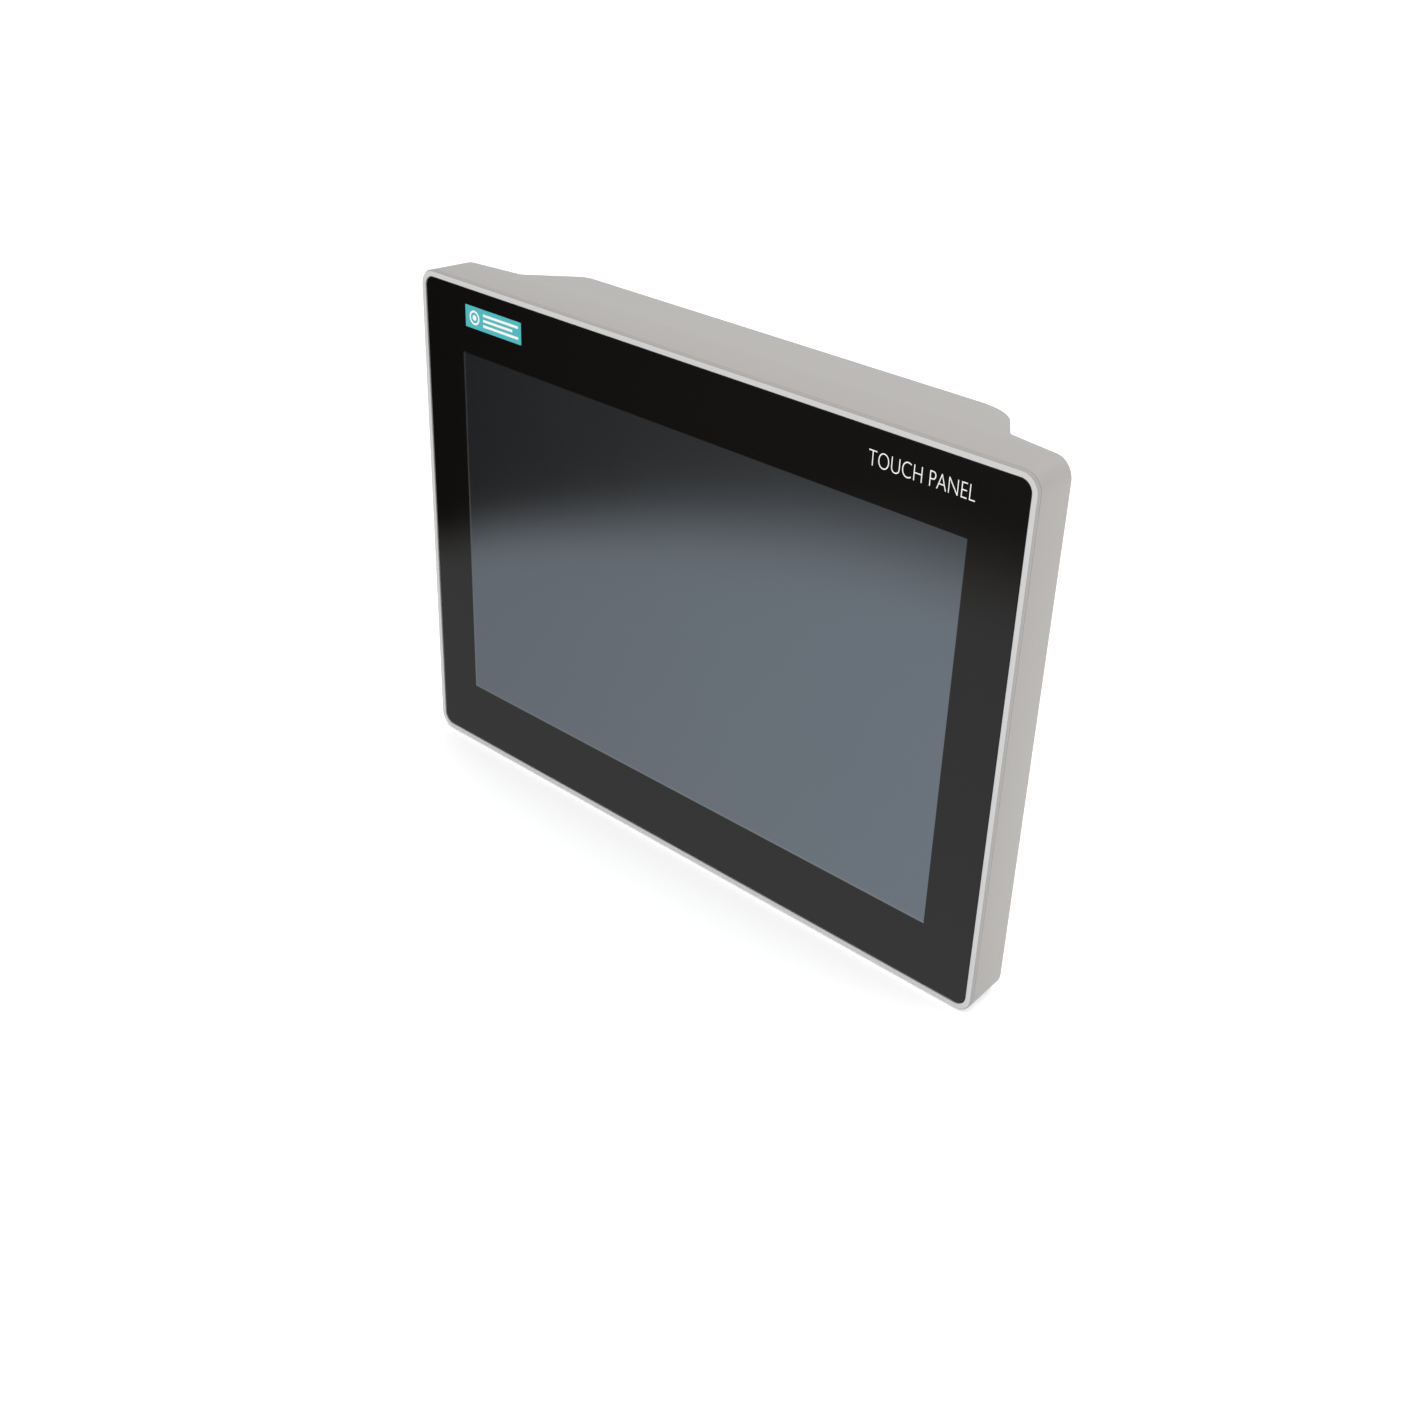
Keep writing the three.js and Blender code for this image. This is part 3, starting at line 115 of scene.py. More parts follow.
def make_camera():
    camera = bpy.data.objects.new("camera", bpy.data.cameras.new("camera"))
    bpy.context.scene.collection.objects.link(camera)
    a, e = math.radians(CAMERA_AZIMUTH), math.radians(CAMERA_ELEVATION)
    back = Vector((math.sin(a) * math.cos(e), -math.cos(a) * math.cos(e), math.sin(e)))
    aim = (-back).to_track_quat("-Z", "Y")
    camera.rotation_mode = "QUATERNION"
    camera.rotation_quaternion = aim @ Quaternion((0, 0, 1), math.radians(CAMERA_ROLL))
    camera.location = CAMERA_PLACE
    camera.data.lens = CAMERA_LENS
    camera.data.clip_start = 0.01
    bpy.context.scene.camera = camera
    return camera


camera = make_camera()
print("camera at", [round(v, 3) for v in camera.location])

# %% [markdown]
# ## Material helpers
# A Principled material is made by one function, and every finish adds its own noise to it. Constant
# values sit on the shader's own sockets. What varies over the surface comes from a node group.


# %% Material helpers
def grey(value):
    return (value, value, value, 1)


def new_material(name, color, roughness, metallic=0.0, **sockets):
    """A material with one Principled shader. Other sockets are given by name, with _ for spaces."""
    material = bpy.data.materials.new(name)
    material.use_nodes = True
    shader = material.node_tree.nodes["Principled BSDF"]
    shader.inputs["Base Color"].default_value = (*color, 1)
    shader.inputs["Roughness"].default_value = roughness
    shader.inputs["Metallic"].default_value = metallic
    for socket, value in sockets.items():
        shader.inputs[socket.replace("_", " ")].default_value = value
    return material


def node(tree, kind, **values):
    """A new node. A value goes to the node's property of that name, or else to its input, where in_2 means
    the third input. An output socket of another node is linked instead of set."""
    made = tree.nodes.new(kind)
    for key, value in values.items():
        if hasattr(made, key):
            setattr(made, key, value)
            continue
        title = key.replace("_", " ")
        socket = made.inputs[int(title[3:]) if title.startswith("in ") else title]
        if isinstance(value, bpy.types.NodeSocket):
            tree.links.new(value, socket)
        else:
            socket.default_value = value
    return made


def group_tree(kind, name, inputs, outputs):
    """An empty node group with its sockets. Inputs are (name, type) or (name, type, default)."""
    tree = bpy.data.node_groups.new(name, kind + "NodeTree")
    for title, socket_type, *default in inputs:
        socket = tree.interface.new_socket(title, in_out="INPUT", socket_type="NodeSocket" + socket_type)
        if default:
            socket.default_value = default[0]
    for title, socket_type in outputs:
        tree.interface.new_socket(title, in_out="OUTPUT", socket_type="NodeSocket" + socket_type)
    return tree, tree.nodes.new("NodeGroupInput"), tree.nodes.new("NodeGroupOutput")


print("material helpers ready")

# %% [markdown]
# ## One group for every surface grain
# Powder coat, blasted metal, moulded plastic and rubber all show the same two things at different
# sizes: a slow drift of tone, and a fine bumpy grain that also makes the gloss uneven. So one shader
# group gives all three, and each material sets its own sizes and strengths.


# %% Surface grain group
DRIFT_SCALE = 14.0


def make_grain_group():
    tree, given, out = group_tree(
        "Shader",
        "surface_grain",
        [
            ("Color", "Color", grey(0.5)),
            ("Tone Drift", "Float", 0.06),
            ("Drift Scale", "Float", DRIFT_SCALE),
            ("Grain Scale", "Float", 900.0),
            ("Roughness", "Float", 0.5),
            ("Roughness Spread", "Float", 0.1),
            ("Stretch", "Vector", (1, 1, 1)),
        ],
        [("Color", "Color"), ("Roughness", "Float"), ("Height", "Float")],
    )
    given = given.outputs
    place = node(tree, "ShaderNodeTexCoord").outputs["Object"]
    stretched = node(tree, "ShaderNodeVectorMath", operation="MULTIPLY", in_0=place, in_1=given["Stretch"])
    place = stretched.outputs[0]
    drift = node(tree, "ShaderNodeTexNoise", Detail=3.0, Vector=place, Scale=given["Drift Scale"])
    grain = node(tree, "ShaderNodeTexNoise", Detail=4.0, Roughness=0.6, Vector=place,
                 Scale=given["Grain Scale"])
    mixed = node(tree, "ShaderNodeMath", operation="ADD", in_0=drift.outputs["Fac"],
                 in_1=grain.outputs["Fac"])
    centred = node(tree, "ShaderNodeMath", operation="SUBTRACT", in_0=mixed.outputs[0], in_1=1.0)
    tone = node(tree, "ShaderNodeMath", operation="MULTIPLY_ADD", in_0=centred.outputs[0],
                in_1=given["Tone Drift"], in_2=1.0)
    shade = node(tree, "ShaderNodeVectorMath", operation="SCALE", in_0=given["Color"],
                 Scale=tone.outputs[0])
    rough = node(tree, "ShaderNodeMath", operation="MULTIPLY_ADD", use_clamp=True,
                 in_0=centred.outputs[0], in_1=given["Roughness Spread"], in_2=given["Roughness"])
    tree.links.new(shade.outputs[0], out.inputs["Color"])
    tree.links.new(rough.outputs[0], out.inputs["Roughness"])
    tree.links.new(grain.outputs["Fac"], out.inputs["Height"])
    return tree


grain_group = make_grain_group()
FINISH = {}


def grained(name, color, roughness, metallic=0.0, drift=0.06, scale=900.0, bump=0.00002, spread=0.1,
            stretch=(1, 1, 1), **sockets):
    """Keeps in FINISH a Principled material with colour, roughness and bump from the grain group."""
    material = new_material(name, color, roughness, metallic, **sockets)
    tree = material.node_tree
    shader = tree.nodes["Principled BSDF"]
    grain = node(tree, "ShaderNodeGroup", node_tree=grain_group, Color=(*color, 1), Tone_Drift=drift,
                 Drift_Scale=DRIFT_SCALE, Grain_Scale=scale, Roughness=roughness,
                 Roughness_Spread=spread, Stretch=stretch)
    tree.links.new(grain.outputs["Color"], shader.inputs["Base Color"])
    tree.links.new(grain.outputs["Roughness"], shader.inputs["Roughness"])
    if bump:
        relief = node(tree, "ShaderNodeBump", Strength=1.0, Distance=bump, Height=grain.outputs["Height"])
        tree.links.new(relief.outputs["Normal"], shader.inputs["Normal"])
    FINISH[name] = material


print("surface grain group with", len(grain_group.nodes), "nodes")

# %% [markdown]
# ## The finishes
# Each finish of the real panel is one call: its colour, its gloss, and how coarse its grain is. Brushed
# and rolled metals stretch the grain along one axis.

# %% Finishes
BRUSHED_X = (0.02, 1, 1)
ROLLED_X = (0.05, 1, 1)
grained("powder_coat", (0.335, 0.322, 0.312), 0.55, drift=0.035, scale=1300, bump=0.000025)
# The rim's front face: a lighter grey that paints in the light this forward-facing face catches.
grained("bright_rim", (0.56, 0.56, 0.56), 0.45, drift=0.02, scale=1300, bump=0.000008, spread=0.06)
grained("black_glass", (0.0012, 0.0012, 0.0013), 0.03, drift=0.2, scale=30, bump=0, spread=0.02)
grained("dark_display", (0.172, 0.212, 0.258), 0.15, metallic=1.0, drift=0.02, scale=30, bump=0,
        spread=0.03, Coat_Weight=1.0, Coat_Roughness=0.02)
grained("display_edge", (0.215, 0.245, 0.28), 0.3, metallic=1.0, drift=0.02, scale=30, bump=0,
        spread=0.03, Coat_Weight=1.0, Coat_Roughness=0.02)
grained("liquid_crystal", (0.016, 0.018, 0.022), 0.25, drift=0.03, scale=900, bump=0)
grained("seal_rubber", (0.018, 0.018, 0.02), 0.8, drift=0.15, scale=1600, bump=0.00003)
grained("zinc_sheet", (0.56, 0.58, 0.60), 0.34, metallic=1.0, drift=0.12, scale=320, bump=0.000006,
        spread=0.22)
grained("stainless", (0.55, 0.545, 0.53), 0.3, metallic=1.0, drift=0.08, scale=900, bump=0.000006,
        spread=0.2)
grained("tinned_shell", (0.66, 0.66, 0.64), 0.26, metallic=1.0, drift=0.06, scale=700, bump=0.000004,
        stretch=BRUSHED_X)
grained("blasted_aluminium", (0.62, 0.63, 0.64), 0.46, metallic=1.0, drift=0.05, scale=2200,
        bump=0.000018)
grained("turned_brass", (0.68, 0.47, 0.16), 0.28, metallic=1.0, drift=0.08, scale=800, bump=0.000005)
grained("black_moulding", (0.022, 0.023, 0.026), 0.5, drift=0.1, scale=2400, bump=0.00002)
grained("green_moulding", (0.028, 0.24, 0.075), 0.42, drift=0.06, scale=1800, bump=0.00001)
grained("white_moulding", (0.72, 0.71, 0.67), 0.45, drift=0.04, scale=1800, bump=0.00001)
grained("solder_resist", (0.016, 0.12, 0.05), 0.34, drift=0.2, scale=260, bump=0.00002, Coat_Weight=0.3)
grained("gold_contact", (0.83, 0.60, 0.24), 0.22, metallic=1.0, drift=0.05, scale=900, bump=0)
grained("amber_film", (0.52, 0.23, 0.035), 0.3, drift=0.12, scale=300, bump=0.000004, Coat_Weight=0.4)
grained("foil_label", (0.60, 0.61, 0.62), 0.36, metallic=0.55, drift=0.03, scale=1500, bump=0.000003,
        stretch=ROLLED_X)
grained("label_ink", (0.02, 0.02, 0.022), 0.5, drift=0.1, scale=1500, bump=0)
grained("teal_print", (0.06, 0.46, 0.49), 0.3, drift=0.03, scale=900, bump=0, Coat_Weight=0.5)
grained("white_print", (0.88, 0.89, 0.89), 0.35, drift=0.02, scale=900, bump=0, Coat_Weight=0.5)
print(len(FINISH), "grained finishes")

# %% [markdown]
# ## Touch film and light guide
# The touch film behind the glass is clear: a low alpha lets light straight through and leaves only a
# little shine. The light guide is a pale plate.

# %% Touch film and light guide
grained("touch_film", (0.3, 0.32, 0.34), 0.2, drift=0.02, scale=500, bump=0, Alpha=0.04)
grained("light_guide", (0.78, 0.8, 0.82), 0.2, drift=0.02, scale=500, bump=0)
print("touch film and light guide ready")

# %% [markdown]
# ## Mesh helpers
# Exact CAD solids have razor edges, which no cast, pressed or moulded piece has. `softened` copies a CAD
# node, merges its loose triangles, dissolves the flat ones into whole faces and bevels its sharp edges.
# Edges chosen by a test get a larger radius. Flat shading stays crisp because only edges over 30 degrees
# are marked sharp.


# %% Mesh helpers
def add_object(name, mesh):
    made = bpy.data.objects.new(name, mesh)
    bpy.context.scene.collection.objects.link(made)
    return made


def smooth_by_angle(mesh, degrees=30):
    mesh.shade_smooth()
    mesh.set_sharp_from_angle(angle=math.radians(degrees))


def from_bmesh(name, bm, finishes, degrees=30):
    mesh = bpy.data.meshes.new(name)
    for finish in finishes:
        mesh.materials.append(FINISH[finish])
    bm.to_mesh(mesh)
    bm.free()
    smooth_by_angle(mesh, degrees)
    return add_object(name, mesh)


def solid_of(name, bm, finish, degrees=30):
    """An object with one finish, all its faces turned outwards."""
    bmesh.ops.recalc_face_normals(bm, faces=bm.faces)
    return from_bmesh(name, bm, [finish], degrees)


def settle(piece, body, slot, *nodes):
    """What every finished piece says: its body and the CAD nodes it stands for, which are hidden. The slot
    argument is not used.
    """
    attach(piece, body)
    if nodes:
        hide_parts(*nodes)
    return piece


def full_turn(sides):
    return [i * 2 * math.pi / sides for i in range(sides)]


def join_rings(bm, rings, close=True):
    """Four-sided faces between rings of vertices, and a face over each end."""
    count = len(rings[0])
    for a, b in zip(rings, rings[1:]):
        for i in range(count):
            j = (i + 1) % count
            bm.faces.new((a[i], a[j], b[j], b[i]))
    if close:
        bm.faces.new(rings[0])
        bm.faces.new(rings[-1])


def sharp_edges(bm, degrees):
    limit = math.radians(degrees)
    return [e for e in bm.edges if e.is_manifold and e.calc_face_angle(0) > limit]


def merged_copy(name):
    bm = bmesh.new()
    bm.from_mesh(frame["nodes"][name].data)
    bmesh.ops.remove_doubles(bm, verts=bm.verts, dist=1e-6)
    bmesh.ops.dissolve_limit(bm, angle_limit=math.radians(0.6), verts=bm.verts, edges=bm.edges)
    return bm


def round_off(bm, edges, radius, segments):
    bmesh.ops.bevel(
        bm,
        geom=edges,
        offset=radius,
        offset_type="OFFSET",
        segments=segments,
        profile=0.5,
        affect="EDGES",
        clamp_overlap=True,
    )


LARGE_FROM, SHARP_FROM = 25, 35


def softened(name, piece, body, slot, finish, radius=0.2 * MM, segments=2, large=None):
    """A softened copy of a CAD node. large is (test on an edge, radius, segments) for its bigger radii."""
    bm = merged_copy(name)
    if large:
        test, large_radius, large_segments = large
        round_off(bm, [e for e in sharp_edges(bm, LARGE_FROM) if test(e)], large_radius, large_segments)
    round_off(bm, sharp_edges(bm, SHARP_FROM), radius, segments)
    bmesh.ops.dissolve_degenerate(bm, edges=bm.edges, dist=1e-7)
    return settle(from_bmesh(piece, bm, [finish]), body, slot, name)


print("mesh helpers ready")

# %% [markdown]
# ## The housing
# The housing is a die casting: every wall leans in by two degrees, and the hump tapers more. Its outer
# rear edges have a generous radius, and its machined seats and holes are only broken. The test below
# finds the outer edges by their place: they lie on the drafted skin and behind the straight side walls.

# %% Housing
SIDE_DEPTH = 21.0 * MM
DRAFT = 0.035
HUMP_DROP = 0.12
OUTER_RADIUS = 0.9 * MM
SKIN_REACH = 3.2 * MM
FLANGE_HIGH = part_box("support_flange")[1]


def on_skin(vertex):
    depth = vertex.co.y - FRONT
    half_width = RIM_HIGH.x - DRAFT * depth
    half_height = RIM_HIGH.z - MIDDLE_Z - DRAFT * min(depth, SIDE_DEPTH)
    half_height -= HUMP_DROP * max(depth - SIDE_DEPTH, 0)
    high = abs(vertex.co.z - MIDDLE_Z) > half_height - SKIN_REACH
    wide = abs(vertex.co.x) > half_width - SKIN_REACH
    return depth > SIDE_DEPTH - 1.2 * MM and (high or wide)


def outer_edge(edge):
    a, b = edge.verts
    middle = (a.co + b.co) / 2
    near_flange = abs(middle.x) < FLANGE_HIGH.x + 2 * MM and middle.y < FLANGE_HIGH.y + MM
    by_flange = middle.z < MIDDLE_Z and near_flange
    return on_skin(a) and on_skin(b) and edge.is_convex and not by_flange


housing = softened(
    "rear_housing", "housing_casting", "housing", "housing_paint", "powder_coat",
    radius=0.22 * MM, large=(outer_edge, OUTER_RADIUS, 4),
)
print("housing:", len(housing.data.polygons), "faces")

# %% [markdown]
# ## The rim and the front glass
# Only the narrow front face of the front frame gets a lighter grey than the housing: painted light, for the
# light that this forward-facing face catches. Its sides have the paint of the housing, so the joint between
# the two nearly disappears.
#
# The glass sheet is built ring by ring from rounded rectangles, so its ground edge is a true round. Its
# border is printed black from behind, which gives a deep black with the sharp shine of glass. In the
# window one sees the dark display: a blurred bluish shine from the panel, and the sharp shine of the
# glass over it. A Principled shader with a coat holds both layers, and its noise clears with few samples,
# which a real sheet of glass over a real display would not do. A narrow strip inside the window's left
# and lower edges is lighter, where one looks past the print onto the display's metal bezel.

# %% Rim
rim = softened("front_frame", "front_rim", "housing", "rim_aluminium", "bright_rim",
               radius=0.15 * MM, segments=3)
rim.data.materials.append(FINISH["powder_coat"])
# Faces that look forward get the lighter painted-light finish, all others the housing paint.
for face in rim.data.polygons:
    face.material_index = 0 if face.normal.y < -0.85 else 1
print("rim:", len(rim.data.polygons), "faces")

# %% [markdown]
# ## Building the glass sheet
# Each ring is a rounded rectangle at one depth. Neighbouring rings are joined by four-sided faces, first
# over the ground edge, then inward over the front to the outline of the window.

# %% Glass sheet
def rounded_ring(half_w, half_h, radius, steps=12):
    """The points of a rectangle with round corners, in X and Z about its middle."""
    points = []
    for corner, (side_x, side_z) in enumerate([(1, 1), (-1, 1), (-1, -1), (1, -1)]):
        for i in range(steps + 1):
            angle = (corner + i / steps) * math.pi / 2
            x = side_x * (half_w - radius) + radius * math.cos(angle)
            z = side_z * (half_h - radius) + radius * math.sin(angle)
            points.append((x, z))
    return points


def sheet_walls(bm, rings, middle):
    """Loops of vertices through rings of (y, half width, half height, radius), joined by quads."""
    loops = []
    for y, half_w, half_h, radius in rings:
        ring = rounded_ring(half_w, half_h, radius)
        loops.append([bm.verts.new((middle[0] + x, y, middle[1] + z)) for x, z in ring])
    join_rings(bm, loops, close=False)
    return loops


def soft_rings(low, high, radius, edge, steps=3):
    """The rings of a sheet that fills a box, with a round of the given size on both faces. A flat ring
    inside each round keeps its soft shading off the flat face."""
    half_w, half_h = (high.x - low.x) / 2, (high.z - low.z) / 2
    turns = [i / steps * math.pi / 2 for i in range(steps + 1)]
    half = []
    for t in turns:
        inset = edge * (1 - math.sin(t))
        half.append((edge * (1 - math.cos(t)), half_w - inset, half_h - inset, radius - inset))
    flat = (0, half_w - 2 * edge, half_h - 2 * edge, radius - 2 * edge)
    half.insert(0, flat)
    front = [(low.y + sink, *rest) for sink, *rest in half]
    back = [(high.y - sink, *rest) for sink, *rest in reversed(half)]
    return front + back


def middle_of(low, high):
    return ((high.x + low.x) / 2, (high.z + low.z) / 2)


def window_faces(bm, outer, low, high, y, strip):
    """Closes a loop with a frame round a window. The window's left and lower strips are faces of their
    own. Returns the window's main face and the two strips."""
    def point(x, z):
        return bm.verts.new((x, y, z))

    right_top, left_top = point(high[0], high[1]), point(low[0], high[1])
    left_low, right_low = point(low[0], low[1]), point(high[0], low[1])
    top_split, right_split = point(low[0] + strip, high[1]), point(high[0], low[1] + strip)
    inner = point(low[0] + strip, low[1] + strip)
    hole = [right_top, left_top, left_low, right_low]
    extra = {0: [top_split], 3: [right_split]}
    quarter = len(outer) // 4
    for corner in range(4):
        run = outer[corner * quarter:(corner + 1) * quarter]
        for a, b in zip(run, run[1:]):
            bm.faces.new((a, b, hole[corner]))
        following = outer[(corner + 1) * quarter % len(outer)]
        between = list(reversed(extra.get(corner, [])))
        bm.faces.new((run[-1], following, hole[(corner + 1) % 4], *between, hole[corner]))
    main = bm.faces.new((top_split, inner, right_split, right_top))
    left = bm.faces.new((left_top, left_low, inner, top_split))
    lower = bm.faces.new((left_low, right_low, right_split, inner))
    return main, left, lower


SCREEN_HALF_W = 261.1 / 2 * MM
SCREEN_HALF_H = 163.2 / 2 * MM
STRIP = 1.0 * MM
GLASS_CORNER = 4.7 * MM
glass_low, glass_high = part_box("front_glass")


def glass_sheet():
    bm = bmesh.new()
    loops = sheet_walls(bm, soft_rings(glass_low, glass_high, GLASS_CORNER, 0.25 * MM), (0, MIDDLE_Z))
    bm.faces.new(loops[-1])
    low = (-SCREEN_HALF_W, MIDDLE_Z - SCREEN_HALF_H)
    high = (SCREEN_HALF_W, MIDDLE_Z + SCREEN_HALF_H)
    main, left, lower = window_faces(bm, loops[0], low, high, glass_low.y, STRIP)
    main.material_index = 1
    left.material_index = lower.material_index = 2
    bmesh.ops.recalc_face_normals(bm, faces=bm.faces)
    return from_bmesh("glass_sheet", bm, ["black_glass", "dark_display", "display_edge"])


settle(glass_sheet(), "housing", "black_glass", "front_glass")
print("glass sheet:", round((glass_high.x - glass_low.x) / MM, 1), "mm wide")

# %% [markdown]
# ## The label plate and the lettering
# Two small prints sit on the border: a teal plate at the top left and white lettering at the top right.
# The plate carries a plain touch sign, a ring with a dot and three bars. The lettering only says what
# the thing is. Each is a thin flat solid that stands a few hundredths proud of the glass.

# %% Label plate
DECAL = 0.03 * MM
decal_back = glass_low.y + 0.005 * MM
PLATE_LOW = Vector((-128.3 * MM, decal_back - DECAL, MIDDLE_Z + 93.4 * MM))
PLATE_HIGH = Vector((-94.0 * MM, decal_back, MIDDLE_Z + 102.9 * MM))
RING_PLACE = 5.6 * MM
RING_RADII = (3.1 * MM, 2.3 * MM)
DOT_RADIUS = 1.2 * MM
BARS_FROM_RING = 5.4 * MM
BAR_PITCH = 2.3 * MM
BAR_HALF = 0.55 * MM


def thin_block(bm, low, high):
    v = [bm.verts.new(corner) for corner in itertools.product(*zip(low, high))]
    for face in ((0, 1, 3, 2), (4, 6, 7, 5), (0, 4, 5, 1), (2, 3, 7, 6), (0, 2, 6, 4), (1, 5, 7, 3)):
        bm.faces.new([v[i] for i in face])


def flat_ring(bm, x, z, outer, inner, y0, y1, sides=40):
    """A flat washer facing the front, or a disc where the inner radius is 0."""
    rows = [
        [bm.verts.new((x + r * math.cos(t), y, z + r * math.sin(t))) for t in full_turn(sides)]
        for y in (y0, y1)
        for r in ((outer, inner) if inner else (outer,))
    ]
    if inner:
        front, front_hole, back, back_hole = rows
        join_rings(bm, [front, front_hole, back_hole, back, front], close=False)
    else:
        join_rings(bm, rows)


def make_label():
    plate = bmesh.new()
    thin_block(plate, PLATE_LOW, PLATE_HIGH)
    settle(solid_of("label_plate", plate, "teal_print"), "housing", "black_glass")
    sign = bmesh.new()
    y0, y1 = PLATE_LOW.y - DECAL, PLATE_LOW.y
    z = (PLATE_LOW.z + PLATE_HIGH.z) / 2
    x = PLATE_LOW.x + RING_PLACE
    flat_ring(sign, x, z, *RING_RADII, y0, y1)
    flat_ring(sign, x, z, DOT_RADIUS, 0, y0, y1)
    start = x + BARS_FROM_RING
    for row, length in ((1, 21.5), (0, 18.0), (-1, 21.5)):
        middle = z + row * BAR_PITCH
        thin_block(sign, (start, y0, middle - BAR_HALF), (start + length * MM, y1, middle + BAR_HALF))
    settle(solid_of("label_sign", sign, "white_print"), "housing", "black_glass")


make_label()
print("label plate:", [round(side / MM, 1) for side in PLATE_HIGH - PLATE_LOW], "mm")

# %% [markdown]
# ## Lettering
# A text object gives the shape of the letters. It is turned into a mesh, scaled to the cap height and the
# width of the line, and laid flat on the glass as a thin print.

# %% Lettering
LETTERS = "TOUCH PANEL"
LETTERS_X = (86.2 * MM, 131.8 * MM)
LETTERS_Z = MIDDLE_Z + 95.6 * MM
CAP_HEIGHT = 6.0 * MM


def make_lettering():
    curve = bpy.data.curves.new("lettering", "FONT")
    curve.body = LETTERS
    curve.extrude = 0.5
    curve.offset = -0.02
    flat = bpy.data.objects.new("lettering_curve", curve)
    bpy.context.scene.collection.objects.link(flat)
    bpy.context.view_layer.update()
    mesh = bpy.data.meshes.new_from_object(flat.evaluated_get(bpy.context.evaluated_depsgraph_get()))
    bpy.data.objects.remove(flat)
    xs = [v.co.x for v in mesh.vertices]
    ys = [v.co.y for v in mesh.vertices]
    across = (LETTERS_X[1] - LETTERS_X[0]) / (max(xs) - min(xs))
    up = CAP_HEIGHT / (max(ys) - min(ys))
    for v in mesh.vertices:
        x = LETTERS_X[0] + (v.co.x - min(xs)) * across
        z = LETTERS_Z + (v.co.y - min(ys)) * up
        v.co = (x, decal_back - DECAL * (v.co.z + 0.5), z)
    bm = bmesh.new()
    bm.from_mesh(mesh)
    bmesh.ops.remove_doubles(bm, verts=bm.verts, dist=1e-7)
    return settle(solid_of("front_lettering", bm, "white_print"), "housing", "black_glass")


lettering = make_lettering()
print("lettering:", len(lettering.data.polygons), "faces")

# %% [markdown]
# ## Covers, flap and flange
# The connection cover, the service flap, the arm flange and the vent plug keep their exact CAD shape.
# They only need their edges broken: the cast cover more than the machined flange.

# %% Covers, flap and flange
for name, piece, body, slot, finish, radius, segments in (
    ("connection_cover", "cover_casting", "cover", "housing_paint", "powder_coat", 0.35, 3),
    ("service_flap", "flap_moulding", "flap", "black_moulding", "black_moulding", 0.3, 3),
    ("support_flange", "arm_flange", "housing", "bare_aluminium", "blasted_aluminium", 0.25, 2),
    ("vent_plug", "vent_moulding", "housing", "black_moulding", "black_moulding", 0.2, 2),
):
    softened(name, piece, body, slot, finish, radius * MM, segments)
print("cover, flap, flange and vent softened")

# %% [markdown]
# ## Screws, placed by Geometry Nodes
# One cap screw is built from rings, with a six-lobed drive, and a node tree copies it to every
# place where the CAD has such a screw. The tree takes the screw, its turn and its material as named
# inputs, and ends in Realize Instances and Set Material, so that the result is one plain mesh.


# %% Placing tree
def finish_copies(tree, copies_node, material, out):
    """The end of every placing tree: real geometry from the instances, and one material."""
    real = node(tree, "GeometryNodeRealizeInstances", Geometry=copies_node.outputs["Instances"])
    painted = node(tree, "GeometryNodeSetMaterial", Geometry=real.outputs["Geometry"], Material=material)
    tree.links.new(painted.outputs["Geometry"], out.inputs["Geometry"])


def placing_tree():
    tree, given, out = group_tree(
        "Geometry",
        "place_copies",
        [
            ("Geometry", "Geometry"),
            ("Pattern", "Object"),
            ("Turn", "Vector"),
            ("Spin Seed", "Int"),
            ("Spin", "Float"),
            ("Material", "Material"),
        ],
        [("Geometry", "Geometry")],
    )
    given = given.outputs
    info = node(tree, "GeometryNodeObjectInfo", transform_space="ORIGINAL", Object=given["Pattern"])
    chance = node(tree, "FunctionNodeRandomValue", data_type="FLOAT", Seed=given["Spin Seed"])
    spin = node(tree, "ShaderNodeMath", operation="MULTIPLY", in_0=chance.outputs["Value"],
                in_1=given["Spin"])
    about = node(tree, "ShaderNodeCombineXYZ", Z=spin.outputs[0])
    place = node(tree, "GeometryNodeInstanceOnPoints", Points=given["Geometry"],
                 Instance=info.outputs["Geometry"], Rotation=given["Turn"])
    local = node(tree, "GeometryNodeRotateInstances", Instances=place.outputs["Instances"],
                 Rotation=about.outputs[0])
    finish_copies(tree, local, given["Material"], out)
    return tree


copies_tree = placing_tree()


def set_inputs(modifier, **values):
    """Sets a Geometry Nodes modifier's inputs by their names."""
    for item in modifier.node_group.interface.items_tree:
        if item.item_type == "SOCKET" and item.in_out == "INPUT":
            key = item.name.replace(" ", "_")
            if key in values:
                modifier[item.identifier] = values[key]


def baked(name, source, tree, finish, **values):
    """Runs a tree on a source object and keeps the result as a plain mesh with one material."""
    material = FINISH[finish]
    modifier = source.modifiers.new("nodes", "NODES")
    modifier.node_group = tree
    set_inputs(modifier, Material=material, **values)
    bpy.context.view_layer.update()
    evaluated = source.evaluated_get(bpy.context.evaluated_depsgraph_get())
    mesh = bpy.data.meshes.new_from_object(evaluated)
    mesh.name = name
    bpy.data.objects.remove(source)
    mesh.materials.clear()
    mesh.materials.append(material)
    smooth_by_angle(mesh)
    return add_object(name, mesh)


def point_cloud(name, places):
    mesh = bpy.data.meshes.new(name)
    mesh.from_pydata([tuple(p) for p in places], [], [])
    return add_object(name, mesh)


def copies(name, pattern, places, finish, turn=(0, 0, 0), spin=0.0, seed=0):
    """Copies of a pattern object at the given places, as one plain mesh. The pattern itself goes."""
    made = baked(name, point_cloud(name + "_places", places), copies_tree, finish,
                 Pattern=pattern, Turn=turn, Spin=spin, Spin_Seed=seed)
    bpy.data.objects.remove(pattern)
    return made


print("placing tree with", len(copies_tree.nodes), "nodes")

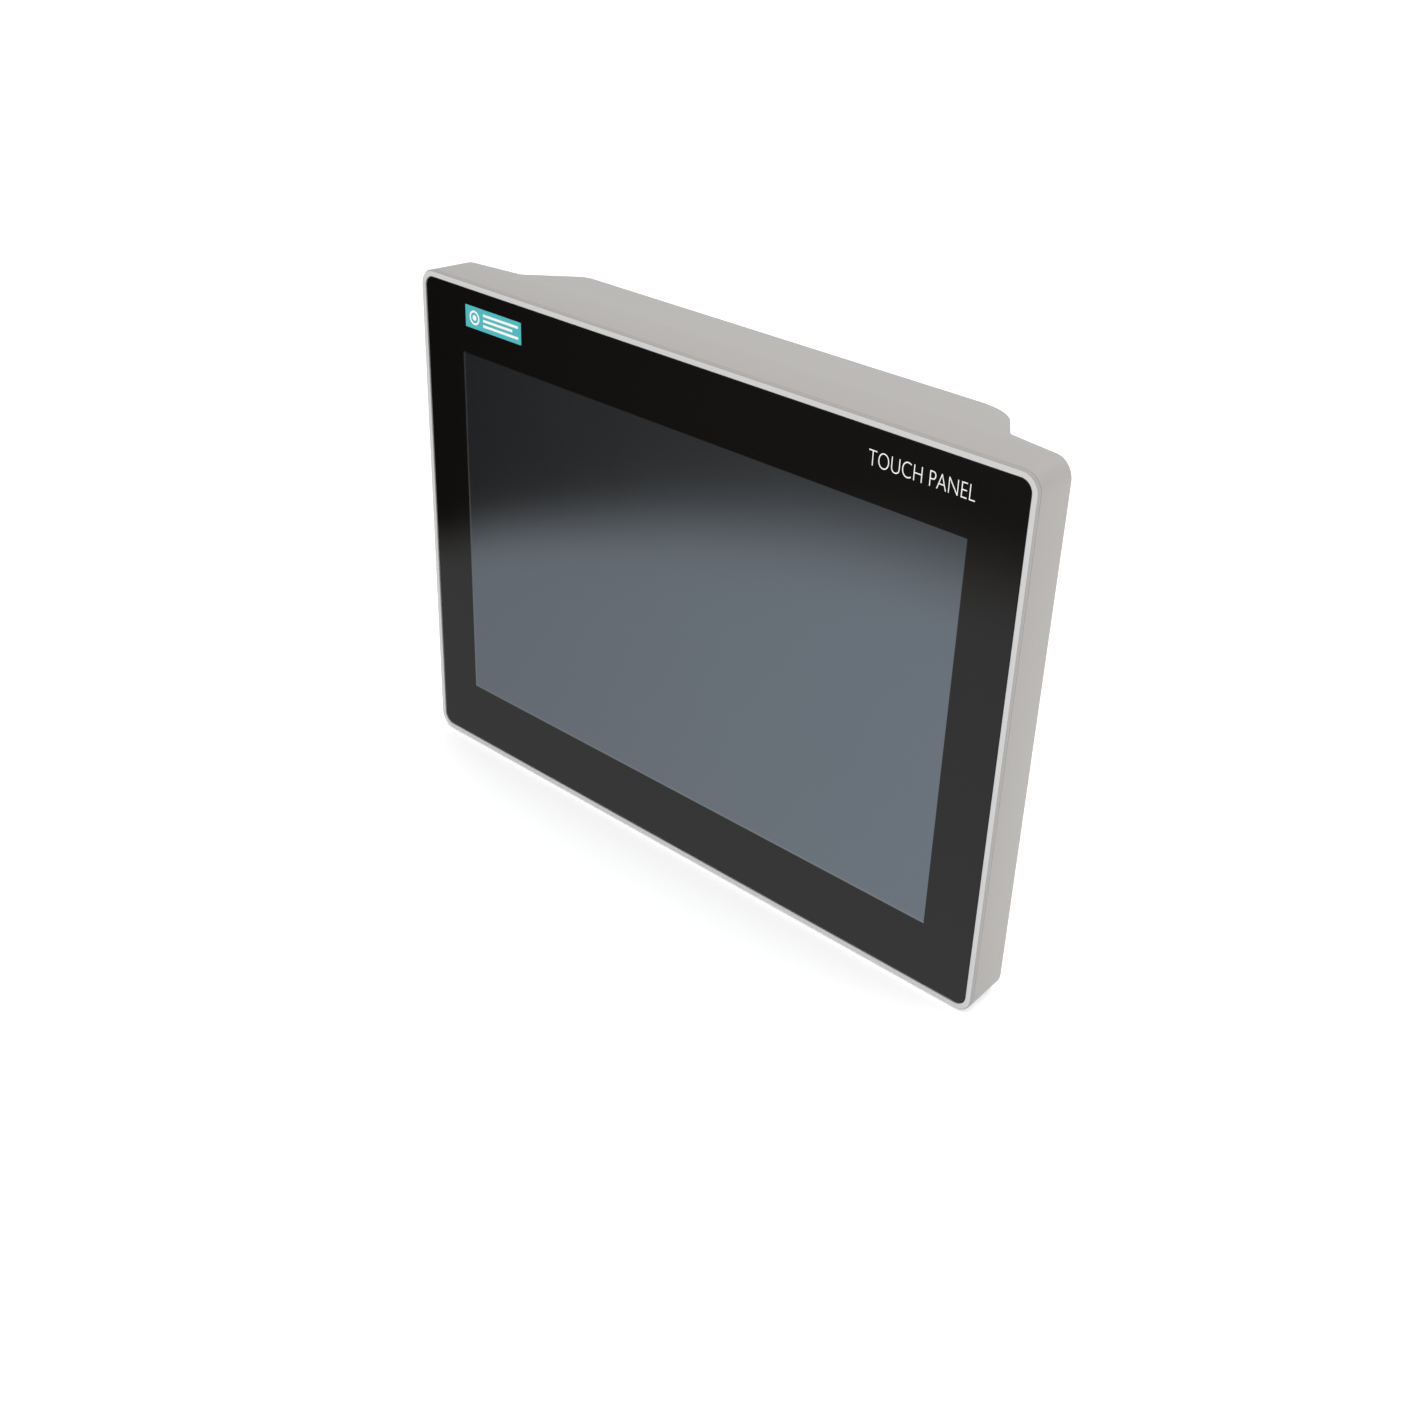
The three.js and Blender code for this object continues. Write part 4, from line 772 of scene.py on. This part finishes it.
# %% [markdown]
# ## The cap screw
# Rings of points, joined by four-sided faces, make the head and the shank in one pass. The first rings
# bulge out and in six times, which sinks the six-lobed drive into the head. A plain lathe stands beside
# it for the other turned parts: it needs only half of their section.

# %% Cap screw
def lathe(profile, sides):
    """A closed body turned about Z. The profile's (radius, z) points are in millimetres and start and end
    on the axis."""
    bm = bmesh.new()
    rows = []
    turns = full_turn(sides)
    for radius, z in ((r * MM, z * MM) for r, z in profile):
        if radius == 0:
            rows.append([bm.verts.new((0, 0, z))])
            continue
        rows.append([bm.verts.new((radius * math.cos(t), radius * math.sin(t), z)) for t in turns])
    for a, b in zip(rows, rows[1:]):
        for i in range(sides):
            j = (i + 1) % sides
            quad = [a[i % len(a)], a[j % len(a)], b[j % len(b)], b[i % len(b)]]
            corners = list(dict.fromkeys(quad))
            if len(corners) > 2:
                bm.faces.new(corners)
    return bm


def cap_screw(name, shaft, head, height, length):
    """A cap screw that points down Z, its head's top at 0, with a six-lobed drive sunk in it."""
    lobes = 6
    sides = lobes * 8
    edge = 0.12 * height
    drive = 0.62 * head
    depth = 0.6 * height
    bm = bmesh.new()

    def row(radius, z, lobed=0.0):
        turns = full_turn(sides)
        reach = [radius * (1 + lobed * math.cos(lobes * t)) for t in turns]
        return [bm.verts.new((r * math.cos(t), r * math.sin(t), z)) for r, t in zip(reach, turns)]

    rows = [
        row(drive * 0.9, -depth, 0.13),
        row(drive * 0.9, -depth * 0.1, 0.13),
        row(drive * 0.97, 0, 0.13),
        row(head - edge, 0),
        row(head, -edge),
        row(head, -height),
        row(shaft, -height),
        row(shaft, -height - length + shaft * 0.5),
        row(shaft * 0.6, -height - length),
    ]
    join_rings(bm, rows)
    return solid_of(name, bm, "stainless")


def screw_set(stem, piece, body, count, shaft, head, height, facing):
    """Replaces the CAD screws of one kind. facing is the axis that their heads look along."""
    nodes = [f"{stem}_{i + 1}" for i in range(count)]
    boxes = [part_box(n) for n in nodes]
    low, high = boxes[0]
    if facing == "back":
        length = high.y - low.y
        places = [((lo.x + hi.x) / 2, hi.y, (lo.z + hi.z) / 2) for lo, hi in boxes]
        turn = (-math.pi / 2, 0, 0)
    else:
        length = high.z - low.z
        places = [((lo.x + hi.x) / 2, (lo.y + hi.y) / 2, lo.z) for lo, hi in boxes]
        turn = (math.pi, 0, 0)
    pattern = cap_screw(piece + "_pattern", shaft, head, height, length - height)
    made = copies(piece, pattern, places, "stainless", turn, spin=1.0, seed=count)
    return settle(made, body, "screw_steel", *nodes)


screw_set("housing_screw", "housing_screws", "housing", 6, 1.9 * MM, 3.6 * MM, 2.8 * MM, "back")
screw_set("cover_screw", "cover_screws", "cover", 6, 1.9 * MM, 3.6 * MM, 1.4 * MM, "back")
screw_set("flange_screw", "flange_screws", "housing", 4, 2.4 * MM, 4.4 * MM, 3.2 * MM, "down")
print("sixteen cap screws placed")

# %% [markdown]
# ## Connectors
# The shells keep their CAD shape with softened edges. What makes them read as sockets is inside: rows of
# sprung contacts, the tongue of each USB port and the nine pins of the serial port. Rows of equal parts
# come from the same placing tree.


# %% Connector shells
def box_solid(name, low, high, finish, radius=0.0):
    bm = bmesh.new()
    thin_block(bm, low, high)
    bmesh.ops.recalc_face_normals(bm, faces=bm.faces)
    if radius:
        round_off(bm, list(bm.edges), radius, 2)
    return from_bmesh(name, bm, [finish])


def row_of(name, low, high, places, finish, body, slot, radius=0.0):
    """Equal small blocks at several places, as one piece."""
    pattern = box_solid(name + "_pattern", low, high, finish, radius)
    return settle(copies(name, pattern, places, finish), body, slot)


PORTS = ("ethernet_port_1", "ethernet_port_2", "usb_port_1", "usb_port_2", "serial_port",
         "service_port")
SHELL_EDGE = 0.15 * MM
MOULDED_EDGE = 0.2 * MM
for port in PORTS:
    softened(port, port + "_shell", "housing", "connector_shell", "tinned_shell", SHELL_EDGE)
for name, body in (("power_socket", "housing"), ("power_plug", "plug")):
    softened(name, name + "_body", body, "green_moulding", "green_moulding", MOULDED_EDGE)
softened("card_cage", "card_cage_shell", "housing", "connector_shell", "tinned_shell", SHELL_EDGE)
for i in (1, 2):
    softened(f"memory_card_{i}", f"memory_card_{i}_body", f"card_{i}", "black_moulding",
             "black_moulding", SHELL_EDGE)
print("connector shells softened")

# %% [markdown]
# ## Contacts
# Sockets look real only with something inside. Network sockets hold a row of eight gold springs, USB
# sockets a white tongue with four flat contacts. Both are rows of one small bar.

# %% Contacts and pins
def mm(*values):
    return Vector(values) * MM


def lower_middle(name):
    """The middle of a CAD node's lower face."""
    low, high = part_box(name)
    return Vector(((low.x + high.x) / 2, (low.y + high.y) / 2, low.z))


def spread(count, pitch):
    return [(i - (count - 1) / 2) * pitch for i in range(count)]


CONTACT_COUNT, CONTACT_PITCH = 8, 1.2
CONTACT = mm(-0.22, -0.25, 0), mm(0.22, 0.15, 8.4)
for port in ("ethernet_port_1", "ethernet_port_2"):
    start = lower_middle(port) + mm(0, 3.4, 2.5)
    places = [start + mm(x, 0, 0) for x in spread(CONTACT_COUNT, CONTACT_PITCH)]
    row_of(port + "_contacts", *CONTACT, places, "gold_contact", "housing", "stud_brass")


def usb_inside(port, start, tongue, contact):
    """The white tongue of a USB socket and its four contacts, given by their corners."""
    made = box_solid(port + "_tongue", *(start + corner for corner in tongue), "white_moulding", SHELL_EDGE)
    settle(made, "housing", "label_foil")
    places = [start + mm(x, 0, 0) for x in (-3.5, -1.2, 1.2, 3.5)]
    row_of(port + "_contacts", *contact, places, "gold_contact", "housing", "stud_brass")


for port in ("usb_port_1", "usb_port_2"):
    usb_inside(port, lower_middle(port) + mm(0, 1.3, 1.2), (mm(-5.2, -0.9, 0), mm(5.2, 0.9, 8.8)),
               (mm(-0.5, -1.02, 0.6), mm(0.5, -0.88, 7)))
port_low, port_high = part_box("service_port")
port_mouth = Vector(((port_low.x + port_high.x) / 2, port_high.y, (port_low.z + port_high.z) / 2))
usb_inside("service_port", port_mouth + mm(0, -1.2, 1.3), (mm(-5.2, -8.8, -0.9), mm(5.2, 0, 0.9)),
           (mm(-0.5, -7, -1.02), mm(0.5, -0.6, -0.88)))
print("network and USB contacts made")

# %% [markdown]
# ## Serial pins
# The serial socket has nine round pins in two staggered rows, and a threaded nut at each side for the
# plug's screws. One pin and one nut are turned, then copied.

# %% Serial pins
PIN_PROFILE = [(0, 0), (0.35, 0.15), (0.5, 0.6), (0.5, 5), (0, 5)]
PIN_PITCH = 2.76
PIN_ROW = 1.4
PIN_RISE = 0.9
NUT_PROFILE = [(0, -3.4), (1.1, -3.4), (2.6, -3.1), (2.6, 0), (0, 0)]
NUT_PLACE = 12.5

foot = lower_middle("serial_port")
pin = solid_of("pin_pattern", lathe(PIN_PROFILE, 12), "gold_contact")
places = [foot + mm(x, PIN_ROW, PIN_RISE) for x in spread(5, PIN_PITCH)]
places += [foot + mm(x, -PIN_ROW, PIN_RISE) for x in spread(4, PIN_PITCH)]
settle(copies("serial_pins", pin, places, "gold_contact"), "housing", "stud_brass")
nut = solid_of("nut_pattern", lathe(NUT_PROFILE, 6), "stainless", 20)
places = [foot + mm(x, 0, 0) for x in (-NUT_PLACE, NUT_PLACE)]
settle(copies("serial_jack_screws", nut, places, "stainless"), "housing", "screw_steel")
print("serial socket: pins and jack screws placed")

# %% [markdown]
# ## The rating plate
# A silver foil label lies in a shallow seat on the back. It carries no words: short bars stand where
# text would be, next to a field of small squares. A node tree lays the bars out in rows and gives each a
# random length from a fixed seed. Seen from behind, text runs towards lower X, and so do the bars.


# %% Rows of bars
def bars_tree():
    tree, given, out = group_tree(
        "Geometry",
        "rows_of_bars",
        [
            ("Geometry", "Geometry"),
            *((title, "Float") for title in ("Thick", "Bar Height", "Shortest", "Longest")),
            ("Seed", "Int"),
            ("Material", "Material"),
        ],
        [("Geometry", "Geometry")],
    )
    given = given.outputs
    cube = node(tree, "GeometryNodeMeshCube", Size=(1, 1, 1))
    moved = node(tree, "GeometryNodeTransform", Translation=(-0.5, 0, 0), Geometry=cube.outputs["Mesh"])
    length = node(tree, "FunctionNodeRandomValue", data_type="FLOAT", in_2=given["Shortest"],
                  in_3=given["Longest"], Seed=given["Seed"])
    size = node(tree, "ShaderNodeCombineXYZ", X=length.outputs["Value"], Y=given["Thick"],
                Z=given["Bar Height"])
    place = node(tree, "GeometryNodeInstanceOnPoints", Points=given["Geometry"],
                 Instance=moved.outputs["Geometry"], Scale=size.outputs[0])
    finish_copies(tree, place, given["Material"], out)
    return tree


label_low, label_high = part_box("rating_plate")


def rating_foil():
    bm = bmesh.new()
    rings = soft_rings(label_low, label_high, 1.8 * MM, 0.1 * MM)
    loops = sheet_walls(bm, rings, middle_of(label_low, label_high))
    bm.faces.new(loops[0])
    bm.faces.new(loops[-1])
    return solid_of("rating_foil", bm, "foil_label")


settle(rating_foil(), "housing", "label_foil", "rating_plate")
INK = 0.03 * MM
ink_y = label_high.y + INK / 2 - 0.002 * MM
ROWS = 8
columns = [label_high.x - start * MM for start in (4, 20, 50)]
places = [(x, ink_y, label_high.z - (5.5 + 3.1 * row) * MM) for row in range(ROWS) for x in columns]
bars = baked("rating_bars", point_cloud("bar_places", places), bars_tree(), "label_ink",
             Thick=INK, Bar_Height=1.1 * MM, Shortest=6 * MM, Longest=14 * MM, Seed=5)
settle(bars, "housing", "label_foil")


def code_field(cells=11, size=15.0 * MM):
    """A square field of small squares, half of them filled by a fixed rule."""
    bm = bmesh.new()
    cell = size / cells
    x0 = label_low.x + 4 * MM
    z0 = (label_low.z + label_high.z - size) / 2
    y0, y1 = ink_y - INK / 2, ink_y + INK / 2
    for i in range(cells):
        for j in range(cells):
            if i == 0 or j == 0 or (i * i + 3 * i * j + 5 * j) % 7 < 3:
                x, z = x0 + i * cell, z0 + j * cell
                gap = cell * 0.03
                thin_block(bm, (x + gap, y0, z + gap), (x + cell - gap, y1, z + cell - gap))
    return solid_of("rating_squares", bm, "label_ink")


settle(code_field(), "housing", "label_foil")
print("rating plate printed with", len(places), "bars")

# %% [markdown]
# ## Earth stud
# The stud's thread is a real helix: rings of points whose radius follows the thread's angle, so that the
# crest climbs by one pitch for each turn. The nut keeps its CAD shape.


# %% Earth stud
def threaded_stud(name, low, high, head_height, pitch=0.8 * MM, depth=0.32 * MM, sides=24):
    """A stud along Y with a hexagon head at its front end and a helical thread on its shaft."""
    x, z = (low.x + high.x) / 2, (low.z + high.z) / 2
    shaft = 2.4 * MM
    head = 4.2 * MM
    start = low.y + head_height
    taper = 1.2 * MM
    bm = bmesh.new()
    turns = full_turn(sides)

    def ring(y, radius_at):
        radii = [radius_at(t) for t in turns]
        return [bm.verts.new((x + r * math.cos(t), y, z + r * math.sin(t))) for r, t in zip(radii, turns)]

    def hexagon(t):
        return head * math.cos(math.pi / 6) / math.cos(t % (math.pi / 3) - math.pi / 6)

    rows = [ring(low.y, hexagon), ring(start, hexagon)]
    steps = int((high.y - start) / (pitch / 6))
    for step in range(steps + 1):
        y = start + (high.y - start) * step / steps
        phase = 2 * math.pi * (y - start) / pitch
        point = 0.35 * MM * max(0, 1 - (high.y - y) / taper)
        rows.append(ring(y, lambda t: shaft - point - depth * (1 + math.cos(phase - t)) / 2))
    join_rings(bm, rows)
    return solid_of(name, bm, "stainless", 50)


stud_low, stud_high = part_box("earth_stud")
stud = threaded_stud("earth_stud_thread", stud_low, stud_high, 2.55 * MM)
settle(stud, "housing", "screw_steel", "earth_stud")
softened("earth_nut", "earth_nut_turned", "housing", "stud_brass", "turned_brass", 0.25 * MM)
print("earth stud:", len(stud.data.polygons), "faces")

# %% [markdown]
# ## The board
# The board stands above the connector shelf. Small parts are scattered over it by the placing tree, from
# a regular grid with every place chosen by a fixed rule, so that it looks laid out and not random.

# %% Board parts
board_low, board_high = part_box("main_board")
chip_low, chip_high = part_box("heat_spreader")
back_face = board_high.y
SPREADER_ROOM = 3 * MM
EDGE_ROOM = 11 * MM
PORT_ROOM_X, PORT_ROOM_Z, PORT_Z = 18 * MM, 8 * MM, 130 * MM
CAGE_LOW_X, CAGE_HIGH_Z = 60 * MM, 106 * MM


def is_free(x, z):
    """Whether a place on the board is clear of the spreader, the edges, the service port and the cage."""
    left, right = chip_low.x - SPREADER_ROOM, chip_high.x + SPREADER_ROOM
    under_spreader = left < x < right and z > chip_low.z - SPREADER_ROOM
    by_edge = abs(x) > board_high.x - EDGE_ROOM or z > board_high.z - EDGE_ROOM
    by_port = abs(x - port_low.x) < PORT_ROOM_X and abs(z - PORT_Z) < PORT_ROOM_Z
    in_cage = x > CAGE_LOW_X and z < CAGE_HIGH_Z
    return not (under_spreader or by_edge or by_port or in_cage)


def board_places(step_x, step_z, offset, rule):
    """The free places of a grid over the board, above its third row, that the rule picks."""
    grid_x = range(1, int((board_high.x - board_low.x) / step_x))
    grid_z = range(3, int((board_high.z - board_low.z) / step_z))
    places = [(board_low.x + i * step_x + offset, back_face, board_low.z + j * step_z)
              for i in grid_x for j in grid_z if rule(i, j)]
    return [(x, y, z) for x, y, z in places if is_free(x, z)]


row_of("board_resistors", mm(-0.8, 0, -0.4), mm(0.8, 0.5, 0.4),
       board_places(4.2 * MM, 3.1 * MM, 0, lambda i, j: (i * 7 + j * 5) % 4 == 0),
       "black_moulding", "housing", "circuit_board")
row_of("board_chips", mm(-5, 0, -5), mm(5, 1.4, 5),
       board_places(23 * MM, 19 * MM, 2.1 * MM, lambda i, j: (i + 2 * j) % 3 == 0),
       "black_moulding", "housing", "circuit_board", 0.2 * MM)
CAN_PROFILE = [(0, 0), (3.1, 0), (3.1, 6.4), (2.8, 7), (0, 7)]
CAN_PLACES = ((-84, 112), (-84, 124), (-84, 136), (-70, 176), (-58, 176))
can = solid_of("capacitor_pattern", lathe(CAN_PROFILE, 24), "zinc_sheet")
cans = copies("board_capacitors", can, [(x * MM, back_face, z * MM) for x, z in CAN_PLACES],
              "zinc_sheet", (-math.pi / 2, 0, 0))
settle(cans, "housing", "circuit_board")
softened("heat_spreader", "heat_spreader_block", "housing", "bare_aluminium", "blasted_aluminium",
         0.25 * MM)
print("board parts placed")

# %% [markdown]
# ## Pieces that keep their CAD mesh
# Seals, sheets, films and standoffs are already the right shape. Each only gets its finish.

# %% Finishes of the remaining CAD nodes
KEPT = {
    "seal_rubber": ["glass_seal", "housing_seal", "cover_seal", "flange_seal"],
    "touch_film": ["touch_sensor"],
    "light_guide": ["light_guide"],
    "liquid_crystal": ["lcd_cell"],
    "zinc_sheet": ["lcd_bezel", "backlight_tray", "lcd_bracket_top", "lcd_bracket_bottom", "chassis_plate",
                   "connector_plate"],
    "solder_resist": ["main_board"],
    "black_moulding": ["processor"],
    "turned_brass": [f"board_standoff_{i + 1}" for i in range(4)],
    "stainless": ["flap_pin"],
    "amber_film": ["display_cable", "touch_cable"],
}
for finish, names in KEPT.items():
    for name in names:
        kept = frame["nodes"][name].data
        kept.materials.clear()
        kept.materials.append(FINISH[finish])
print(sum(len(names) for names in KEPT.values()), "CAD nodes painted")

# %% [markdown]
# ## Studio
# The panel stands on a pale light table under a white sky, with a large soft light above and one at the
# right. The table glows a little by itself, which takes the edge off the shadows, and the sky looks as
# white as the table where it is seen directly, so no horizon shows.
#
# Black glass is a mirror, so what it reflects matters as much as its own colour. A glowing card on the
# floor in front of the panel paints the reflection: it is no lamp, and only reflections see it. Its painted
# reflection tones are chosen for each point of the glass: dark above, soft grey below, with the change
# running up to the right. The mirror law then gives the place on the floor that each point of the glass
# shows to the camera.


# %% Floor and lights
def make_floor(size=12.0, thick=0.02):
    grained("light_table", (0.93, 0.93, 0.93), 0.9, drift=0.01, scale=40, bump=0, Specular_IOR_Level=0.1,
            Emission_Color=(1, 1, 1, 1), Emission_Strength=0.3)
    box_solid("floor", (-size, -size, -thick), (size, size, 0), "light_table")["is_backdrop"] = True


def soft_light(name, place, target, size, power):
    light = bpy.data.lights.new(name, "AREA")
    light.shape = "RECTANGLE"
    light.size, light.size_y = size
    light.energy = power
    made = bpy.data.objects.new(name, light)
    bpy.context.scene.collection.objects.link(made)
    made.location = place
    made.rotation_mode = "QUATERNION"
    made.rotation_quaternion = (Vector(target) - Vector(place)).to_track_quat("-Z", "Y")


SEEN_SKY = 1.05


def make_sky(strength):
    world = bpy.data.worlds.new("studio")
    world.use_nodes = True
    tree = world.node_tree
    sky = tree.nodes["Background"]
    sky.inputs["Color"].default_value = (1, 1, 1, 1)
    seen = node(tree, "ShaderNodeLightPath").outputs["Is Camera Ray"]
    level = node(tree, "ShaderNodeMapRange", To_Min=strength, To_Max=SEEN_SKY, Value=seen)
    tree.links.new(level.outputs["Result"], sky.inputs["Strength"])
    bpy.context.scene.world = world


make_floor()
make_sky(0.88)
soft_light("top_light", (0.2, 0.3, 1.6), (0, 0, 0.1), (2.0, 2.0), 14)
soft_light("right_light", (1.5, -0.5, 0.7), (0, 0, 0.1), (1.2, 1.2), 2)
bpy.context.scene.view_settings.view_transform = "Standard"
print("floor, sky and", len(bpy.data.lights), "soft lights ready")

# %% [markdown]
# ## Reflection card
# The card is a grid of points. Each point stands for one point of the glass, and its vertex colour is
# the painted reflection tone seen there. The floor place comes from the mirror law, so the card can be
# edited as if it were drawn straight on the glass.

# %% Reflection card
# Heights above the middle of the glass, in millimetres, where the painted reflection turns from dark to
# light, from left to right.
CHANGE = [(-400, -94), (-150, -15), (-115, 3), (-60, 24), (0, 45), (60, 62), (100, 69), (150, 71),
          (400, 78)]
# Half the width of the change, then the painted reflection's dark and light tones, each from left to right.
# The dark part is tinted warm.
CHANGE_HALF = (16.0, 25.0)
DARK = (0.05, 0.15)
LIGHT = (0.5, 0.69)
DARK_TINT = (1.12, 1.0, 0.88)


def share_between(value, low, high):
    return min(max((value - low) / (high - low), 0.0), 1.0)


def change_height(x):
    for (x0, h0), (x1, h1) in zip(CHANGE, CHANGE[1:]):
        if x <= x1:
            return h0 + (h1 - h0) * (x - x0) / (x1 - x0)
    return CHANGE[-1][1]


def card_tone(x, height):
    """The painted reflection colour that a point of the glass shows. The point is in millimetres from its
    middle.
    """
    across = share_between(x, -150, 150)
    dark, light, half = (a + (b - a) * across for a, b in (DARK, LIGHT, CHANGE_HALF))
    above = share_between(height, change_height(x) - half, change_height(x) + half)
    smooth = above * above * (3 - 2 * above)
    tone = light + (dark - light) * smooth
    return [tone * (1 + (tint - 1) * smooth) for tint in DARK_TINT]


def mirrored_on_floor(x, z):
    """Where the floor lies in the mirror of the glass plane at a point of it, seen by the camera."""
    share = z / (CAMERA_PLACE.z - z)
    reach = glass_low.y - CAMERA_PLACE.y
    return (x + (x - CAMERA_PLACE.x) * share, glass_low.y - reach * share, 0.001)


def make_card(columns=44, rows=80, half_width=0.4, top=0.41):
    bm = bmesh.new()
    shade = bm.verts.layers.float_color.new("tone")
    grid = []
    for i in range(columns + 1):
        x = half_width * (2 * i / columns - 1)
        line = []
        for j in range(rows + 1):
            z = top * j / rows
            vertex = bm.verts.new(mirrored_on_floor(x, z))
            vertex[shade] = (*card_tone(x / MM, (z - MIDDLE_Z) / MM), 1)
            line.append(vertex)
        grid.append(line)
    for a, b in zip(grid, grid[1:]):
        for j in range(rows):
            bm.faces.new((a[j], b[j], b[j + 1], a[j + 1]))
    material = bpy.data.materials.new("card_print")
    material.use_nodes = True
    tree = material.node_tree
    tree.nodes.remove(tree.nodes["Principled BSDF"])
    # The card glows with its painted reflection tones; it is no lamp, and only reflections see it.
    printed = node(tree, "ShaderNodeAttribute", attribute_name="tone")
    glow = node(tree, "ShaderNodeEmission", Strength=1.0, Color=printed.outputs["Color"])
    tree.links.new(glow.outputs[0], tree.nodes["Material Output"].inputs["Surface"])
    FINISH["card_print"] = material
    card = from_bmesh("reflection_card", bm, ["card_print"])
    card.visible_camera = False
    card.visible_diffuse = False
    card.visible_transmission = False
    card.visible_shadow = False
    card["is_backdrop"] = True
    return card


card = make_card()
print("reflection card with", len(card.data.vertices), "points")

# %% Sizes of the CAD and the visual
seen_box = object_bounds()
for title, corners in (("CAD", cad_box), ("visual", seen_box)):
    print(title, [round(v / MM, 2) for corner in corners for v in corner])
